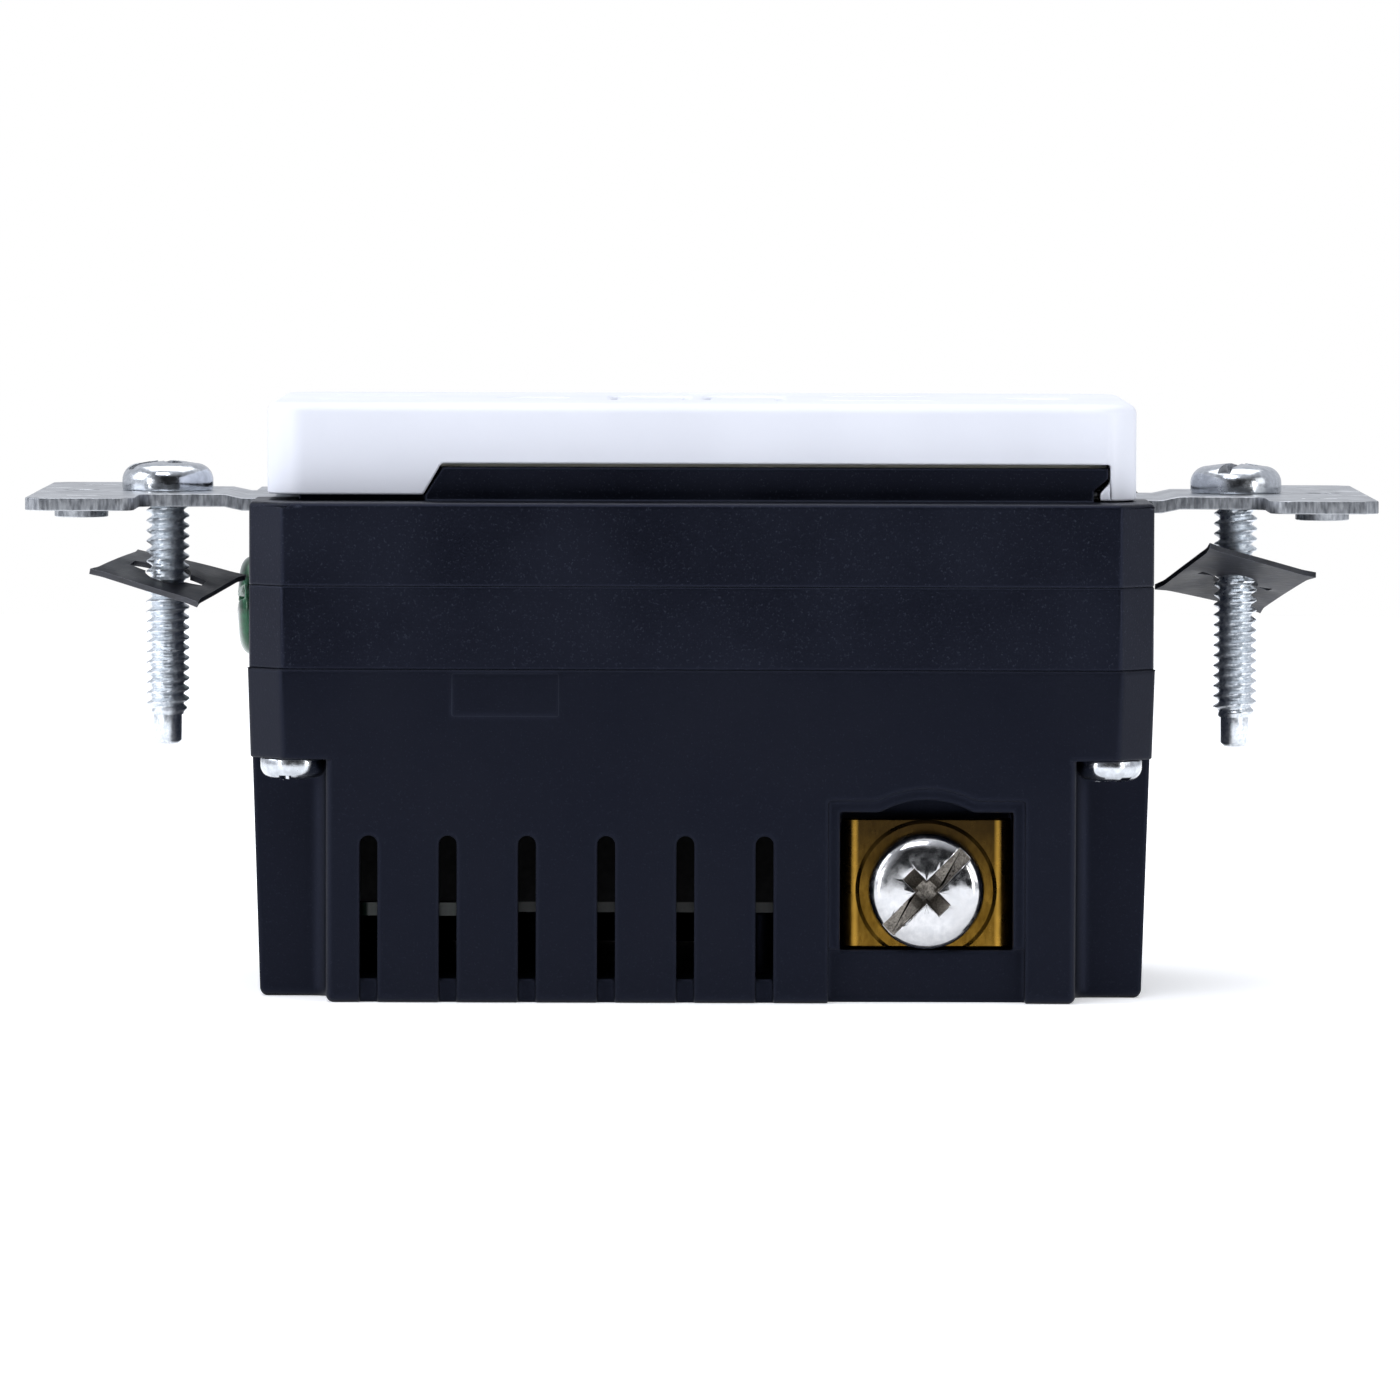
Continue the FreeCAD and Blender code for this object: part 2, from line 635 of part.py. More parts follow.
def arched_room(shrink, depth):
    """A room sunk depth into the side wall, with a shallow arch over the middle of its flat top."""
    half = pocket_width / 2 - shrink
    x0, x1, y0, y1 = terminal_x - half, terminal_x + half, half_width + back_lip - depth, half_width + 1
    room = box(x0, x1, y0, y1, sill_top, pocket_top - shrink)
    arch = rod_y(terminal_x, terminal_z, pocket_arch_r - shrink, y0, y1)
    room = join([room, arch.common(box(x0, x1, 0, y1, sill_top, rim_bottom))])
    top = pocket_top - shrink
    meets = lambda p, d: abs(d.y) > 0.99 and abs(p.z - top) < 1e-4 and abs(p.x - terminal_x) < half - 0.1
    return soften(room, pocket_arch_blend, meets)


def pocket():
    """The room round a line terminal, open to the side, with a stepped mouth and a set-back sill below."""
    half = pocket_width / 2
    sill = box(terminal_x - half, terminal_x + half, half_width + back_lip - sill_set_back, half_width + 1,
               back_bottom - 1, sill_top + 0.1)
    return join([arched_room(pocket_lip, pocket_depth), arched_room(0, pocket_lip_depth), sill])


board_posts = ((-23.0, 16.2), (-12.0, 12.4), (4.5, 12.4), (22.4, 8.6))


def back_housing():
    """The deep tub: vents, terminal pockets, corner notches under the case screws, and posts for the board."""
    body = tub(0, lower_seam, back_bottom)
    body = soften(body, 0.5, lambda p, d: abs(d.z) > 0.9)
    notches = []
    for sx in (-1, 1):
        for sy in (-1, 1):
            xs = sorted((sx * (half_length - corner_notch_x), sx * (half_length + 2)))
            ys = sorted((sy * (half_width - corner_notch_y), sy * (half_width + 2)))
            notch = box(*xs, *ys, back_bottom - 1, rim_bottom)
            inner_edge = lambda p, d: upright(d) and abs(p.x) < half_length and abs(p.y) < half_width
            notches.append(soften(notch, 1.4, inner_edge))
    body = body.cut(Part.makeCompound(notches))
    at_front = lambda p: abs(p.x) < half_length - corner_notch_x + 0.1 and abs(p.y) > half_width - 1.0
    body = soften(body, 0.5, lambda p, d: abs(d.z) > 0.9 and at_front(p) and p.z < rim_bottom)
    body = soften(body, 0.6, lambda p, d: abs(p.z - back_bottom) < 1e-6)
    room = cavity(back_bottom + back_floor, lower_seam + 1)
    for keep in terminal_room(back_bottom - 1, pocket_top + 2.0):
        room = room.cut(keep)
    body = body.cut(room)
    for x in vents_x:
        for cut in both_sides(vent(x)):
            body = body.cut(cut)
    for cut in both_sides(pocket()):
        body = body.cut(cut)
    relief = rod_y(terminal_x, terminal_z, terminal_screw_r + 0.4, pocket_floor_y - 3, pocket_floor_y + 1)
    tail = centred(terminal_x, pocket_floor_y, 5.4, 6.0, terminal_z + 4.0, terminal_z + 5.2)
    wire_y = pocket_floor_y + plate_thick + wire_gap / 2 + 0.15
    for s in (-1, 1):
        for dx in (-wire_hole_spacing / 2, wire_hole_spacing / 2):
            body = body.cut(post(terminal_x + dx, s * wire_y, wire_hole_r, back_bottom - 1, sill_top + 0.1))
    for cut in both_sides(relief) + both_sides(tail):
        body = body.cut(cut)
    posts = []
    for x, y in board_posts:
        posts += [post(x, y, 1.6, back_bottom + back_floor - 0.5, board_top - board_thick),
                  post(x, -y, 1.6, back_bottom + back_floor - 0.5, board_top - board_thick)]
    body = join([body] + posts)
    for hole in case_holes(rim_bottom - 1, lower_seam + 1) + [lug_recess()]:
        body = body.cut(hole)
    tabs = [centred(-half_length + 19.6, s * (half_width + back_lip), 8.1, 0.3, -15.4, lower_seam - 0.3) for s in (-1, 1)]
    return join([body] + tabs)


def combo_drive(r, z, width, depth, turn=45.0):
    """A cross recess with a slot right through one arm pair, cut down from height z. The slot lies at turn degrees."""
    arm = centred(0, 0, 2 * r, width, z - depth, z + 1)
    cross = [centred(0, 0, r * 1.05, width * 1.05, z - 2 * depth, z + 1), centred(0, 0, width * 1.05, r * 1.05, z - 2 * depth, z + 1)]
    drive = join([arm] + cross)
    drive.rotate(V(0, 0, 0), UP, turn)
    return drive


def pan_head(r, height, z):
    """A pan head standing on height z: a short straight side under a shallow dome."""
    side = height * 0.42
    foot = 0.25
    profile = [V(0, 0, z), V(r - foot, 0, z), V(r, 0, z + foot), V(r - 0.08, 0, z + side)]
    edges = [Part.LineSegment(a, b).toShape() for a, b in zip(profile, profile[1:])]
    shoulder = V(r * 0.84, 0, z + height * 0.84)
    edges.append(Part.Arc(profile[-1], shoulder, V(r * 0.55, 0, z + height * 0.96)).toShape())
    edges.append(Part.LineSegment(V(r * 0.55, 0, z + height * 0.96), V(0, 0, z + height)).toShape())
    edges.append(Part.LineSegment(V(0, 0, z + height), V(0, 0, z)).toShape())
    return Part.Face(Part.Wire(edges)).revolve(V(0, 0, 0), UP, 360)


def ridged_shank(r, root, pitch, z_top, z_bottom, tip_r):
    """A shank with one ridge to each thread pitch, ending in a plain tip of radius tip_r down to z_bottom."""
    points = [V(0, 0, z_top), V(root, 0, z_top)]
    count = int((z_top - z_bottom - box_screw_tip) / pitch)
    for i in range(count):
        z = z_top - i * pitch
        points += [V(r, 0, z - pitch / 2), V(root, 0, z - pitch)]
    points += [V(tip_r, 0, points[-1].z), V(tip_r, 0, z_bottom + 0.3), V(tip_r - 0.3, 0, z_bottom), V(0, 0, z_bottom)]
    return Part.Face(Part.makePolygon(points + [points[0]])).revolve(V(0, 0, 0), UP, 360)


def box_screw(x):
    """Hangs in the strap's slot with its head on the strap."""
    head = pan_head(box_head_r, box_head_height, strap_thick)
    shank = ridged_shank(box_screw_r, box_screw_root, box_screw_pitch, strap_thick, strap_thick - box_screw_length, box_screw_tip_r)
    screw = join([head, shank]).cut(combo_drive(box_head_r, strap_thick + box_head_height, 1.0, 0.9))
    screw.translate(V(x, 0, 0))
    return screw


def retainer(x, faces, lean, turn):
    """A square of fibre pressed over the thread, hanging askew on it. Slits each side of the hole let it grip."""
    plate = centred(0, 0, retainer_side, retainer_side, -retainer_thick / 2, retainer_thick / 2)
    plate = soften(plate, 0.7, lambda p, d: upright(d))
    slit = soften(centred(0, 0, 6.2, 0.9, -1, 1), 0.44, lambda p, d: upright(d))
    plate = plate.cut(slit)
    plate.rotate(V(0, 0, 0), UP, turn)
    away = math.radians(faces)
    plate.rotate(V(0, 0, 0), V(-math.sin(away), math.cos(away), 0), lean)
    plate = plate.cut(post(0, 0, box_screw_r + 0.08, -5, 5))
    plate.translate(V(x, 0, -retainer_drop))
    return plate


def case_screw(x, y):
    """Comes in from the back, through all three layers."""
    shank = post(x, y, case_screw_r, rim_bottom, housing_top - case_screw_depth - 0.2)
    head = pan_head(case_head_r, case_head_height, 0)
    head.rotate(V(0, 0, 0), V(1, 0, 0), 180)
    drive = combo_drive(case_head_r, 0, 0.8, 0.7)
    drive.rotate(V(0, 0, 0), V(1, 0, 0), 180)
    drive.translate(V(0, 0, -case_head_height))
    head = head.cut(drive)
    head.translate(V(x, y, rim_bottom))
    return join([shank, head])


def outward(shape, x, y, z, axis):
    """Turns a shape built along +Z to point along axis, and moves its origin."""
    made = shape.copy()
    made.Placement = FreeCAD.Placement(V(x, y, z), FreeCAD.Rotation(UP, axis))
    return made


# ---- line terminals ------------------------------------------------------------------------------------------
plate_outer_y = pocket_floor_y + plate_thick
clamp_inner_y = plate_outer_y + wire_gap
clamp_outer_y = clamp_inner_y + plate_thick


def terminal_plate():
    """The fixed, tapped brass plate, with a tail that passes through the pocket's back wall."""
    plate = box(terminal_x - terminal_plate_width / 2 + 0.4, terminal_x + terminal_plate_width / 2 - 0.4, pocket_floor_y,
                plate_outer_y, terminal_z - 4.2, terminal_z + 5.0)
    tail = box(terminal_x - 2.5, terminal_x + 2.5, pocket_floor_y - pocket_back - 1.3, plate_outer_y, terminal_z + 4.1, terminal_z + 5.0)
    return join([plate, tail]).cut(rod_y(terminal_x, terminal_z, terminal_screw_r + 0.05, 0, half_width))


def clamp_plate():
    """The loose brass plate under the screw head, with flanges that keep it square in the pocket."""
    top = sill_top + 0.2 + terminal_plate_height
    bottom = sill_top + 0.2
    x0, x1 = terminal_x - terminal_plate_width / 2, terminal_x + terminal_plate_width / 2
    plate = box(x0, x1, clamp_inner_y, clamp_outer_y, bottom, top)
    plate = soften(plate, 0.8, lambda p, d: abs(d.z) > 0.9 and abs(p.y - clamp_outer_y) < 1e-6)
    flange = box(x0 - clamp_flange / 2, x0 + 0.3, clamp_inner_y - 0.4, clamp_outer_y - 0.7, bottom, top)
    other = box(x1 - 0.3, x1 + clamp_flange / 2, clamp_inner_y - 0.4, clamp_outer_y - 0.7, bottom, top)
    return join([plate, flange, other]).cut(rod_y(terminal_x, terminal_z, terminal_screw_r + 0.25, 0, half_width))


def terminal_screw():
    head = pan_head(terminal_head_r, terminal_head_height, 0)
    head = head.cut(combo_drive(terminal_head_r, terminal_head_height, 1.1, 0.8))
    shank = post(0, 0, terminal_screw_r, -terminal_screw_length, 0.1)
    shank = soften(shank, 0.5, lambda p, d: abs(p.z + terminal_screw_length) < 1e-6, chamfer=True)
    return outward(join([head, shank]), terminal_x, clamp_outer_y, terminal_z, V(0, 1, 0))


def ground_screw():
    head = pan_head(ground_head_r, ground_head_height, 0)
    head = head.cut(combo_drive(ground_head_r, ground_head_height, 1.1, 0.8))
    shank = post(0, 0, ground_screw_r, -ground_shank, 0.1)
    shank = soften(shank, 0.5, lambda p, d: abs(p.z + ground_shank) < 1e-6, chamfer=True)
    return outward(join([head, shank]), -half_length - lug_out, ground_screw_y, ground_screw_z, V(-1, 0, 0))


# ---- contacts ------------------------------------------------------------------------------------------------
strip_thick = 0.8
leaf_thick = 0.6
leaf_gap = 1.3            # relaxed, a little less than a blade is thick


def contact_strip(y):
    """A brass bar on the middle layer's floor, with a two-leaf contact under each slot and a foot down to the switch."""
    z0 = middle_floor_top
    z1 = z0 + strip_thick
    side = 1 if y > 0 else -1
    made = [box(blades_x[0] - 3.2, blades_x[1] + 3.2, y - 1.9, y + 1.9, z0, z1)]
    for x in blades_x:
        for s in (-1, 1):
            throat, mouth = leaf_gap / 2, 1.9
            leaf = prism([V(0, 1.9, z0), V(0, 1.9, -5.4), V(0, throat + leaf_thick, -2.6), V(0, mouth + leaf_thick, 1.6),
                          V(0, mouth, 1.6), V(0, throat, -2.6), V(0, 1.9 - leaf_thick, -5.4), V(0, 1.9 - leaf_thick, z0)],
                         V(6.4, 0, 0))
            leaf.translate(V(x - 3.2, 0, 0))
            leaf = leaf if s > 0 else in_front(leaf)
            leaf.translate(V(0, y, 0))
            made.append(leaf)
    bridge = box(fixed_contact_x - 1.8, fixed_contact_x + 1.8, *sorted((y, side * (arm_y + arm_half))), z0, z1)
    foot = box(fixed_contact_x - 1.8, fixed_contact_x + 1.8, *sorted((side * (arm_y + arm_half - 0.8), side * (arm_y + arm_half))),
               fixed_contact_z, z1)
    pad_arm = box(fixed_contact_x - 1.8, fixed_contact_x + 1.8, *sorted((side * (arm_y - arm_half), side * (arm_y + arm_half))),
                  fixed_contact_z, fixed_contact_z + 0.8)
    return join(made + [bridge, foot, pad_arm])


fixed_contact_z = -13.4
pad_height = 0.5
carrier_drop = 1.4


def fixed_pads():
    return [post(fixed_contact_x, s * arm_y, arm_half - 0.1, fixed_contact_z - pad_height, fixed_contact_z) for s in (-1, 1)]


def contact_arm(side):
    """A springy strip from a post on the board to a moving contact over the carrier's wing."""
    top = fixed_contact_z - 2 * pad_height - 0.05
    thick = 0.5
    y0, y1 = sorted((side * (arm_y - arm_half), side * (arm_y + arm_half)))
    blade = box(-12.4, fixed_contact_x + 1.8, y0, y1, top - thick, top)
    leg = box(-12.9, -12.4, y0, y1, board_top, top)
    pad = post(fixed_contact_x, side * arm_y, arm_half - 0.1, top - 0.1, top + pad_height)
    return join([blade, leg, pad])


# ---- latch and solenoid --------------------------------------------------------------------------------------
arm_under = fixed_contact_z - 2 * pad_height - 0.05 - 0.5
latch_length = 12.0


def latch_carrier():
    """Rides up and down the reset pin in the middle layer's shaft. Its wings hold the contact arms up."""
    hx, hy = guide_half_x - run_gap, guide_half_y - run_gap
    block = centred(reset_x, 0, 2 * hx, 2 * hy, -21.8, arm_under - 0.9)
    wings = [centred(reset_x, s * (arm_y - 1.2), 3.4, 5.0, arm_under - 1.3, arm_under - 0.03) for s in (-1, 1)]
    block = join([block] + wings)
    block = block.cut(post(reset_x, 0, reset_pin_r + 0.25, -30, 0))
    slot = box(reset_x - hx - 1, reset_x + hx + 1, -2.3, 2.3, latch_z - latch_thick / 2 - 0.1, latch_z + latch_thick / 2 + 0.1)
    return block.cut(slot)


latch_engage = 0.12
keyhole_shift = 2.2


def latch_plate():
    """A steel slide with a keyhole: its narrow end holds the pin's head, its wide end lets the head pass."""
    x0 = reset_x - guide_half_x - 1.6
    plate = box(x0, x0 + latch_length, -2.1, 2.1, latch_z - latch_thick / 2, latch_z + latch_thick / 2)
    wide = post(reset_x - keyhole_shift / 2 + 0.35, 0, reset_pin_r + 0.3, latch_z - 2, latch_z + 2)
    edge = reset_x + reset_pin_r - latch_engage
    narrow = box(reset_x - 1, edge, -reset_pin_r - 0.3, reset_pin_r + 0.3, latch_z - 2, latch_z + 2)
    return plate.cut(join([wide, narrow]))


plunger_r = 1.9
plunger_travel = 1.0
bobbin_x0 = -25.6
bobbin_x1 = -10.4
coil_r = 4.6


def bobbin():
    """A flanged spool on two feet that stand on the board."""
    made = [rod_x(0, latch_z, plunger_r + 1.0, bobbin_x0, bobbin_x1)]
    for x in (bobbin_x0, bobbin_x1 - 1.0):
        made.append(box(x, x + 1.0, -5.0, 5.0, latch_z - 5.0, latch_z + 5.0))
        made.append(box(x, x + 1.0, -4.0, 4.0, board_top, latch_z - 4.9))
    return join(made).cut(rod_x(0, latch_z, plunger_r + 0.25, -40, 0))


def winding():
    ring = rod_x(0, latch_z, coil_r, bobbin_x0 + 1.0, bobbin_x1 - 1.0)
    return ring.cut(rod_x(0, latch_z, plunger_r + 1.0, -40, 0))


def solenoid_frame():
    """A steel bracket round the coil, open at the sides."""
    x0, x1 = bobbin_x0 - 1.0, bobbin_x1 + 1.0
    top = latch_z + 5.0
    made = [box(x0, x1, -3.6, 3.6, top, top + 0.9)]
    for x in (x0, x1 - 1.0):
        made.append(box(x, x + 1.0, -3.6, 3.6, latch_z - 4.6, top + 0.9))
    return join(made).cut(rod_x(0, latch_z, plunger_r + 0.25, -24, 0))


def plunger():
    """Steel core with a thin nose that reaches the latch plate."""
    nose_end = reset_x - guide_half_x - 1.6 - 0.15
    core = rod_x(0, latch_z, plunger_r, bobbin_x0 + 5.0, bobbin_x1 + 1.6)
    return join([core, rod_x(0, latch_z, 0.9, bobbin_x1 + 1.5, nose_end)])


def plunger_spring():
    return coil(plunger_r - 0.55, 0.2, 4.4, 5, V(bobbin_x0 + 0.3, 0, latch_z), V(1, 0, 0))


def reset_spring():
    room = button_width / 2 - button_wall - reset_pin_r
    wire = room * 0.28
    base = strap_low_top + wire + 0.03
    return coil(reset_pin_r + room / 2, wire, reset_boss - wire - 0.03 - base, 4, V(reset_x, 0, base))


def test_leaf():
    """The test contact: a strip fixed under the deck, bent so that its free end lies under the test button's stem."""
    z = ceiling
    reach = test_x - 12.0
    drop = test_stem_bottom - 0.15
    points = [V(reach, 0, z), V(reach + 5, 0, z), V(test_x - 2.4, 0, drop), V(test_x + 1.8, 0, drop)]
    lower = [p - V(0, 0, 0.3) for p in reversed(points)]
    strip = prism(points + lower, V(0, 3.0, 0))
    strip.translate(V(0, -1.5, 0))
    return strip


# ---- board and what stands on it -----------------------------------------------------------------------------
sensor_x = 18.8
sensor_r = 7.4
core_height = 4.4


def circuit_board():
    """Wide at the -X end, waisted beside the vents and between the terminals."""
    a, b = half_length - corner_notch_x - housing_wall, half_width - housing_wall - board_edge_gap
    inner = pocket_floor_y - pocket_back - 2.9
    steps = [(-a + board_edge_gap, -16.0, b), (-16.0, terminal_x - pocket_width / 2 - 2.0, b - 3.9), (-16.0, a - board_edge_gap, inner)]
    z0 = board_top - board_thick
    board = join([box(x0, x1, -h, h, z0, board_top) for x0, x1, h in steps])
    return soften(board, 0.8, lambda p, d: upright(d))


def sensor_case():
    """A plastic cup that holds both cores over the board."""
    z0 = board_top
    z1 = z0 + 2 * core_height + 2.2
    cup = post(sensor_x, 0, sensor_r + 0.9, z0, z1).cut(post(sensor_x, 0, sensor_r + 0.1, z0 + 0.8, z1 + 1))
    tube = post(sensor_x, 0, 3.6, z0, z1)
    return join([cup, tube]).cut(post(sensor_x, 0, 2.9, z0 - 1, z1 + 1))


def sensor_core(index):
    """A wound ring. Two of them sit one on the other."""
    z0 = board_top + 0.9 + index * (core_height + 0.3)
    ring = post(sensor_x, 0, sensor_r, z0, z0 + core_height).cut(post(sensor_x, 0, 3.75, z0 - 1, z0 + 6))
    return soften(ring, 0.9, lambda p, d: True)


def line_conductor(side):
    """A copper bar from a terminal's tail over the cup and down through both cores to the board."""
    tail_y = pocket_floor_y - pocket_back - 1.3
    over = board_top + 2 * core_height + 2.2 + 0.4
    wide, thick = 2.4, 0.8
    x0, x1 = sensor_x - wide / 2, sensor_x + wide / 2
    rise = box(x0, x1, tail_y - thick, tail_y, terminal_z + 4.1, over + thick)
    across = box(x0, x1, 0.9, tail_y, over, over + thick)
    down = box(x0, x1, 0.9, 0.9 + thick, board_top, over + thick)
    bar = join([rise, across, down])
    return bar if side > 0 else in_front(bar)


def varistor():
    disc = rod_x(12.4, board_top + 5.6, 5.2, -22.6, -19.0)
    legs = [post(-20.8, y, 0.35, board_top, board_top + 2.4) for y in (9.9, 14.9)]
    return join([disc] + legs)


def supply_capacitor():
    can = post(-21.4, -11.8, 3.6, board_top, board_top + 10.0)
    return soften(can, 0.5, lambda p, d: True)


def film_capacitor():
    block = box(-8.0, 0.4, -14.6, -10.6, board_top, board_top + 8.0)
    return soften(block, 0.4, lambda p, d: p.z > board_top + 0.1)


def thyristor():
    can = post(-7.0, 12.4, 2.3, board_top + 2.0, board_top + 6.6).cut(box(-12, 0, 13.4, 20, board_top, board_top + 9))
    legs = [centred(-7.0 + dx, 12.4, 0.45, 0.45, board_top, board_top + 2.1) for dx in (-1.27, 0, 1.27)]
    return join([can] + legs)


def control_chip():
    body = box(-8.0, -2.6, -2.0, 2.0, board_top + 0.1, board_top + 1.6)
    legs = [box(-7.7 + i * 1.27, -7.3 + i * 1.27, -2.9, 2.9, board_top, board_top + 0.4) for i in range(4)]
    return join([body] + legs)


def axial(x, y, r, length):
    """A part lying on the board on its two bent legs, along Y."""
    body = rod_y(x, board_top + r, r, y - length / 2, y + length / 2)
    return soften(body, r * 0.35, lambda p, d: True)


def resistors():
    return [axial(x, y, 0.8, 4.2) for x, y in ((-1.0, 8.6), (1.6, 8.6), (4.2, -8.4), (6.8, -8.4), (-16.2, 8.0), (-16.2, -8.2))]


def diodes():
    return [axial(x, y, 1.0, 4.0) for x, y in ((7.2, 7.2), (4.4, 7.2), (-3.8, -7.6), (-0.8, -7.6))]


def lamp():
    """A small round-topped light-emitting diode under the light pipe."""
    body = post(button_middle, lamp_y - 0.0, 1.5, board_top, lamp_top - 1.4)
    return join([body, Part.makeSphere(1.4, V(button_middle, lamp_y, lamp_top - 1.4))])


# ---- write everything ----------------------------------------------------------------------------------------
def main():
    os.makedirs("parts", exist_ok=True)
    save("face_cover", face_cover())
    save("mounting_strap", mounting_strap())
    save("upper_housing", upper_housing())
    save("middle_housing", middle_housing())
    save("back_housing", back_housing())
    save("case_screws", [case_screw(x, y) for x, y in case_screws])
    save("left_box_screw", box_screw(-box_screw_x))
    save("right_box_screw", box_screw(box_screw_x))
    save("left_retainer", retainer(-box_screw_x, -56.5, 20.8, -20.0))
    save("right_retainer", retainer(box_screw_x, 83.1, 24.1, 24.0))
    for name, turn in (("hot", lambda s: s), ("neutral", in_front)):
        save(name + "_terminal_plate", turn(terminal_plate()))
        save(name + "_clamp_plate", turn(clamp_plate()))
        save(name + "_terminal_screw", turn(terminal_screw()))
    save("hot_contact_strip", contact_strip(hot_y))
    save("neutral_contact_strip", contact_strip(neutral_y))
    save("hot_line_conductor", line_conductor(1))
    save("neutral_line_conductor", line_conductor(-1))
    save("hot_contact_arm", contact_arm(1))
    save("neutral_contact_arm", contact_arm(-1))
    save("fixed_contact_pads", fixed_pads())
    save("ground_screw", ground_screw())
    save("ground_contacts", [ground_contact(x) for x in grounds_x])
    save("strap_rivets", strap_rivets())
    save("reset_button", reset_button())
    save("reset_pin", reset_pin())
    save("reset_spring", reset_spring())
    save("test_button", test_button())
    save("test_contact_leaf", test_leaf())
    save("lamp_pipe", lamp_pipe())
    save("indicator_lamp", lamp())
    save("shutter_tray", shutter_tray())
    for name, x in zip(("left", "right"), blades_x):
        save(name + "_shutter", shutter(x))
        save(name + "_shutter_spring", shutter_spring(x))
    save("latch_carrier", latch_carrier())
    save("latch_plate", latch_plate())
    save("solenoid_bobbin", bobbin())
    save("solenoid_winding", winding())
    save("solenoid_frame", solenoid_frame())
    save("solenoid_plunger", plunger())
    save("plunger_spring", plunger_spring())
    save("circuit_board", circuit_board())
    save("sensor_case", sensor_case())
    save("sensing_core", sensor_core(0))
    save("ground_neutral_core", sensor_core(1))
    save("varistor", varistor())
    save("supply_capacitor", supply_capacitor())
    save("film_capacitor", film_capacitor())
    save("thyristor", thyristor())
    save("control_chip", control_chip())
    save("resistors", resistors())
    save("diodes", diodes())


main()
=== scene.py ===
import bpy
import bmesh
import math
from mathutils import Matrix, Vector
from mathutils.bvhtree import BVHTree


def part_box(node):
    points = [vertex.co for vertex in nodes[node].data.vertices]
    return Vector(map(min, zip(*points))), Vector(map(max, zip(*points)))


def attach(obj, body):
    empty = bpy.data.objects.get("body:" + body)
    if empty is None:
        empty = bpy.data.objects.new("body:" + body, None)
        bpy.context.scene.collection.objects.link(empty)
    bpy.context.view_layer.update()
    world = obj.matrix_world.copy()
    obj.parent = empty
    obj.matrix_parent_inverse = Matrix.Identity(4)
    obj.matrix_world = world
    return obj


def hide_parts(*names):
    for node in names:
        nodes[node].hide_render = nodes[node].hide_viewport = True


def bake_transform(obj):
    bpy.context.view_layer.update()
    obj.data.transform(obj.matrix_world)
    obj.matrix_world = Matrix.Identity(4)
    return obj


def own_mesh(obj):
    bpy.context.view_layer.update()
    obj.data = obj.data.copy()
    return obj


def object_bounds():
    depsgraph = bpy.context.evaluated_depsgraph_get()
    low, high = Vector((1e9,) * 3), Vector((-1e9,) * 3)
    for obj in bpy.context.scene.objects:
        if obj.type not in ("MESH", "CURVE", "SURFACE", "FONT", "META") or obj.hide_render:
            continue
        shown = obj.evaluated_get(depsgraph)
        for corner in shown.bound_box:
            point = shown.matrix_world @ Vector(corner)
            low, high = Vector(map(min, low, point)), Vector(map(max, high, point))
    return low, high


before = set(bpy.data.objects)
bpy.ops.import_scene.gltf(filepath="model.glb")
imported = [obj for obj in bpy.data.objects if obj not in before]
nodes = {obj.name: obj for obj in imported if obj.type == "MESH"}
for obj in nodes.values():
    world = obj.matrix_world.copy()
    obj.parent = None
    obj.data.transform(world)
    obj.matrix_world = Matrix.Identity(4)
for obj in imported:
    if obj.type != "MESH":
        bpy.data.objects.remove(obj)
cad_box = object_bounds()
MM = 0.001

# ---- back housing ----
# The deep tub that holds the board. Black glass-filled nylon, injection moulded in a spark-eroded mould, so
# it has a fine even grain that scatters the light, and edges eased by a tenth of a millimetre.


def linear(code, alpha=1.0):
    """An sRGB hex colour as the linear values that sockets take."""
    values = [int(code[i:i + 2], 16) / 255 for i in (0, 2, 4)]
    return (*[v / 12.92 if v <= 0.04045 else ((v + 0.055) / 1.055) ** 2.4 for v in values], alpha)


def add(tree, kind, inputs=None, **settings):
    """Adds one node. inputs gives sockets, by name or number, a value or another node's output."""
    node = tree.nodes.new(kind)
    for name, value in settings.items():
        setattr(node, name, value)
    for key, value in (inputs or {}).items():
        if isinstance(value, bpy.types.NodeSocket):
            tree.links.new(value, node.inputs[key])
        else:
            node.inputs[key].default_value = value
    return node


def start_material(name, roughness, metallic=0.0, ior=1.5):
    """A new material: itself, its tree, its shader, and the point on the piece in metres."""
    made = bpy.data.materials.new(name)
    made.use_nodes = True
    shader = made.node_tree.nodes["Principled BSDF"]
    shader.inputs["Roughness"].default_value = roughness
    shader.inputs["Metallic"].default_value = metallic
    shader.inputs["IOR"].default_value = ior
    return made, made.node_tree, shader, add(made.node_tree, "ShaderNodeTexCoord").outputs["Object"]


def noise(tree, point, size, detail=3.0, stretch=(1, 1, 1)):
    """A noise whose lumps are about size across, longer along an axis whose stretch is under 1."""
    place = add(tree, "ShaderNodeVectorMath", {0: point, 1: stretch}, operation="MULTIPLY")
    made = add(tree, "ShaderNodeTexNoise", {"Vector": place.outputs[0], "Scale": 1 / size, "Detail": detail})
    return made.outputs["Fac"]


def between(tree, factor, low, high, a, b):
    """Runs from a to b as factor goes from low to high."""
    inputs = {"Value": factor, "From Min": low, "From Max": high, "To Min": a, "To Max": b}
    return add(tree, "ShaderNodeMapRange", inputs).outputs["Result"]


def blended(tree, factor, a, b):
    """Colour a where factor is 0 and b where it is 1."""
    return add(tree, "ShaderNodeMix", {"Factor": factor, "A": a, "B": b}, data_type="RGBA").outputs["Result"]


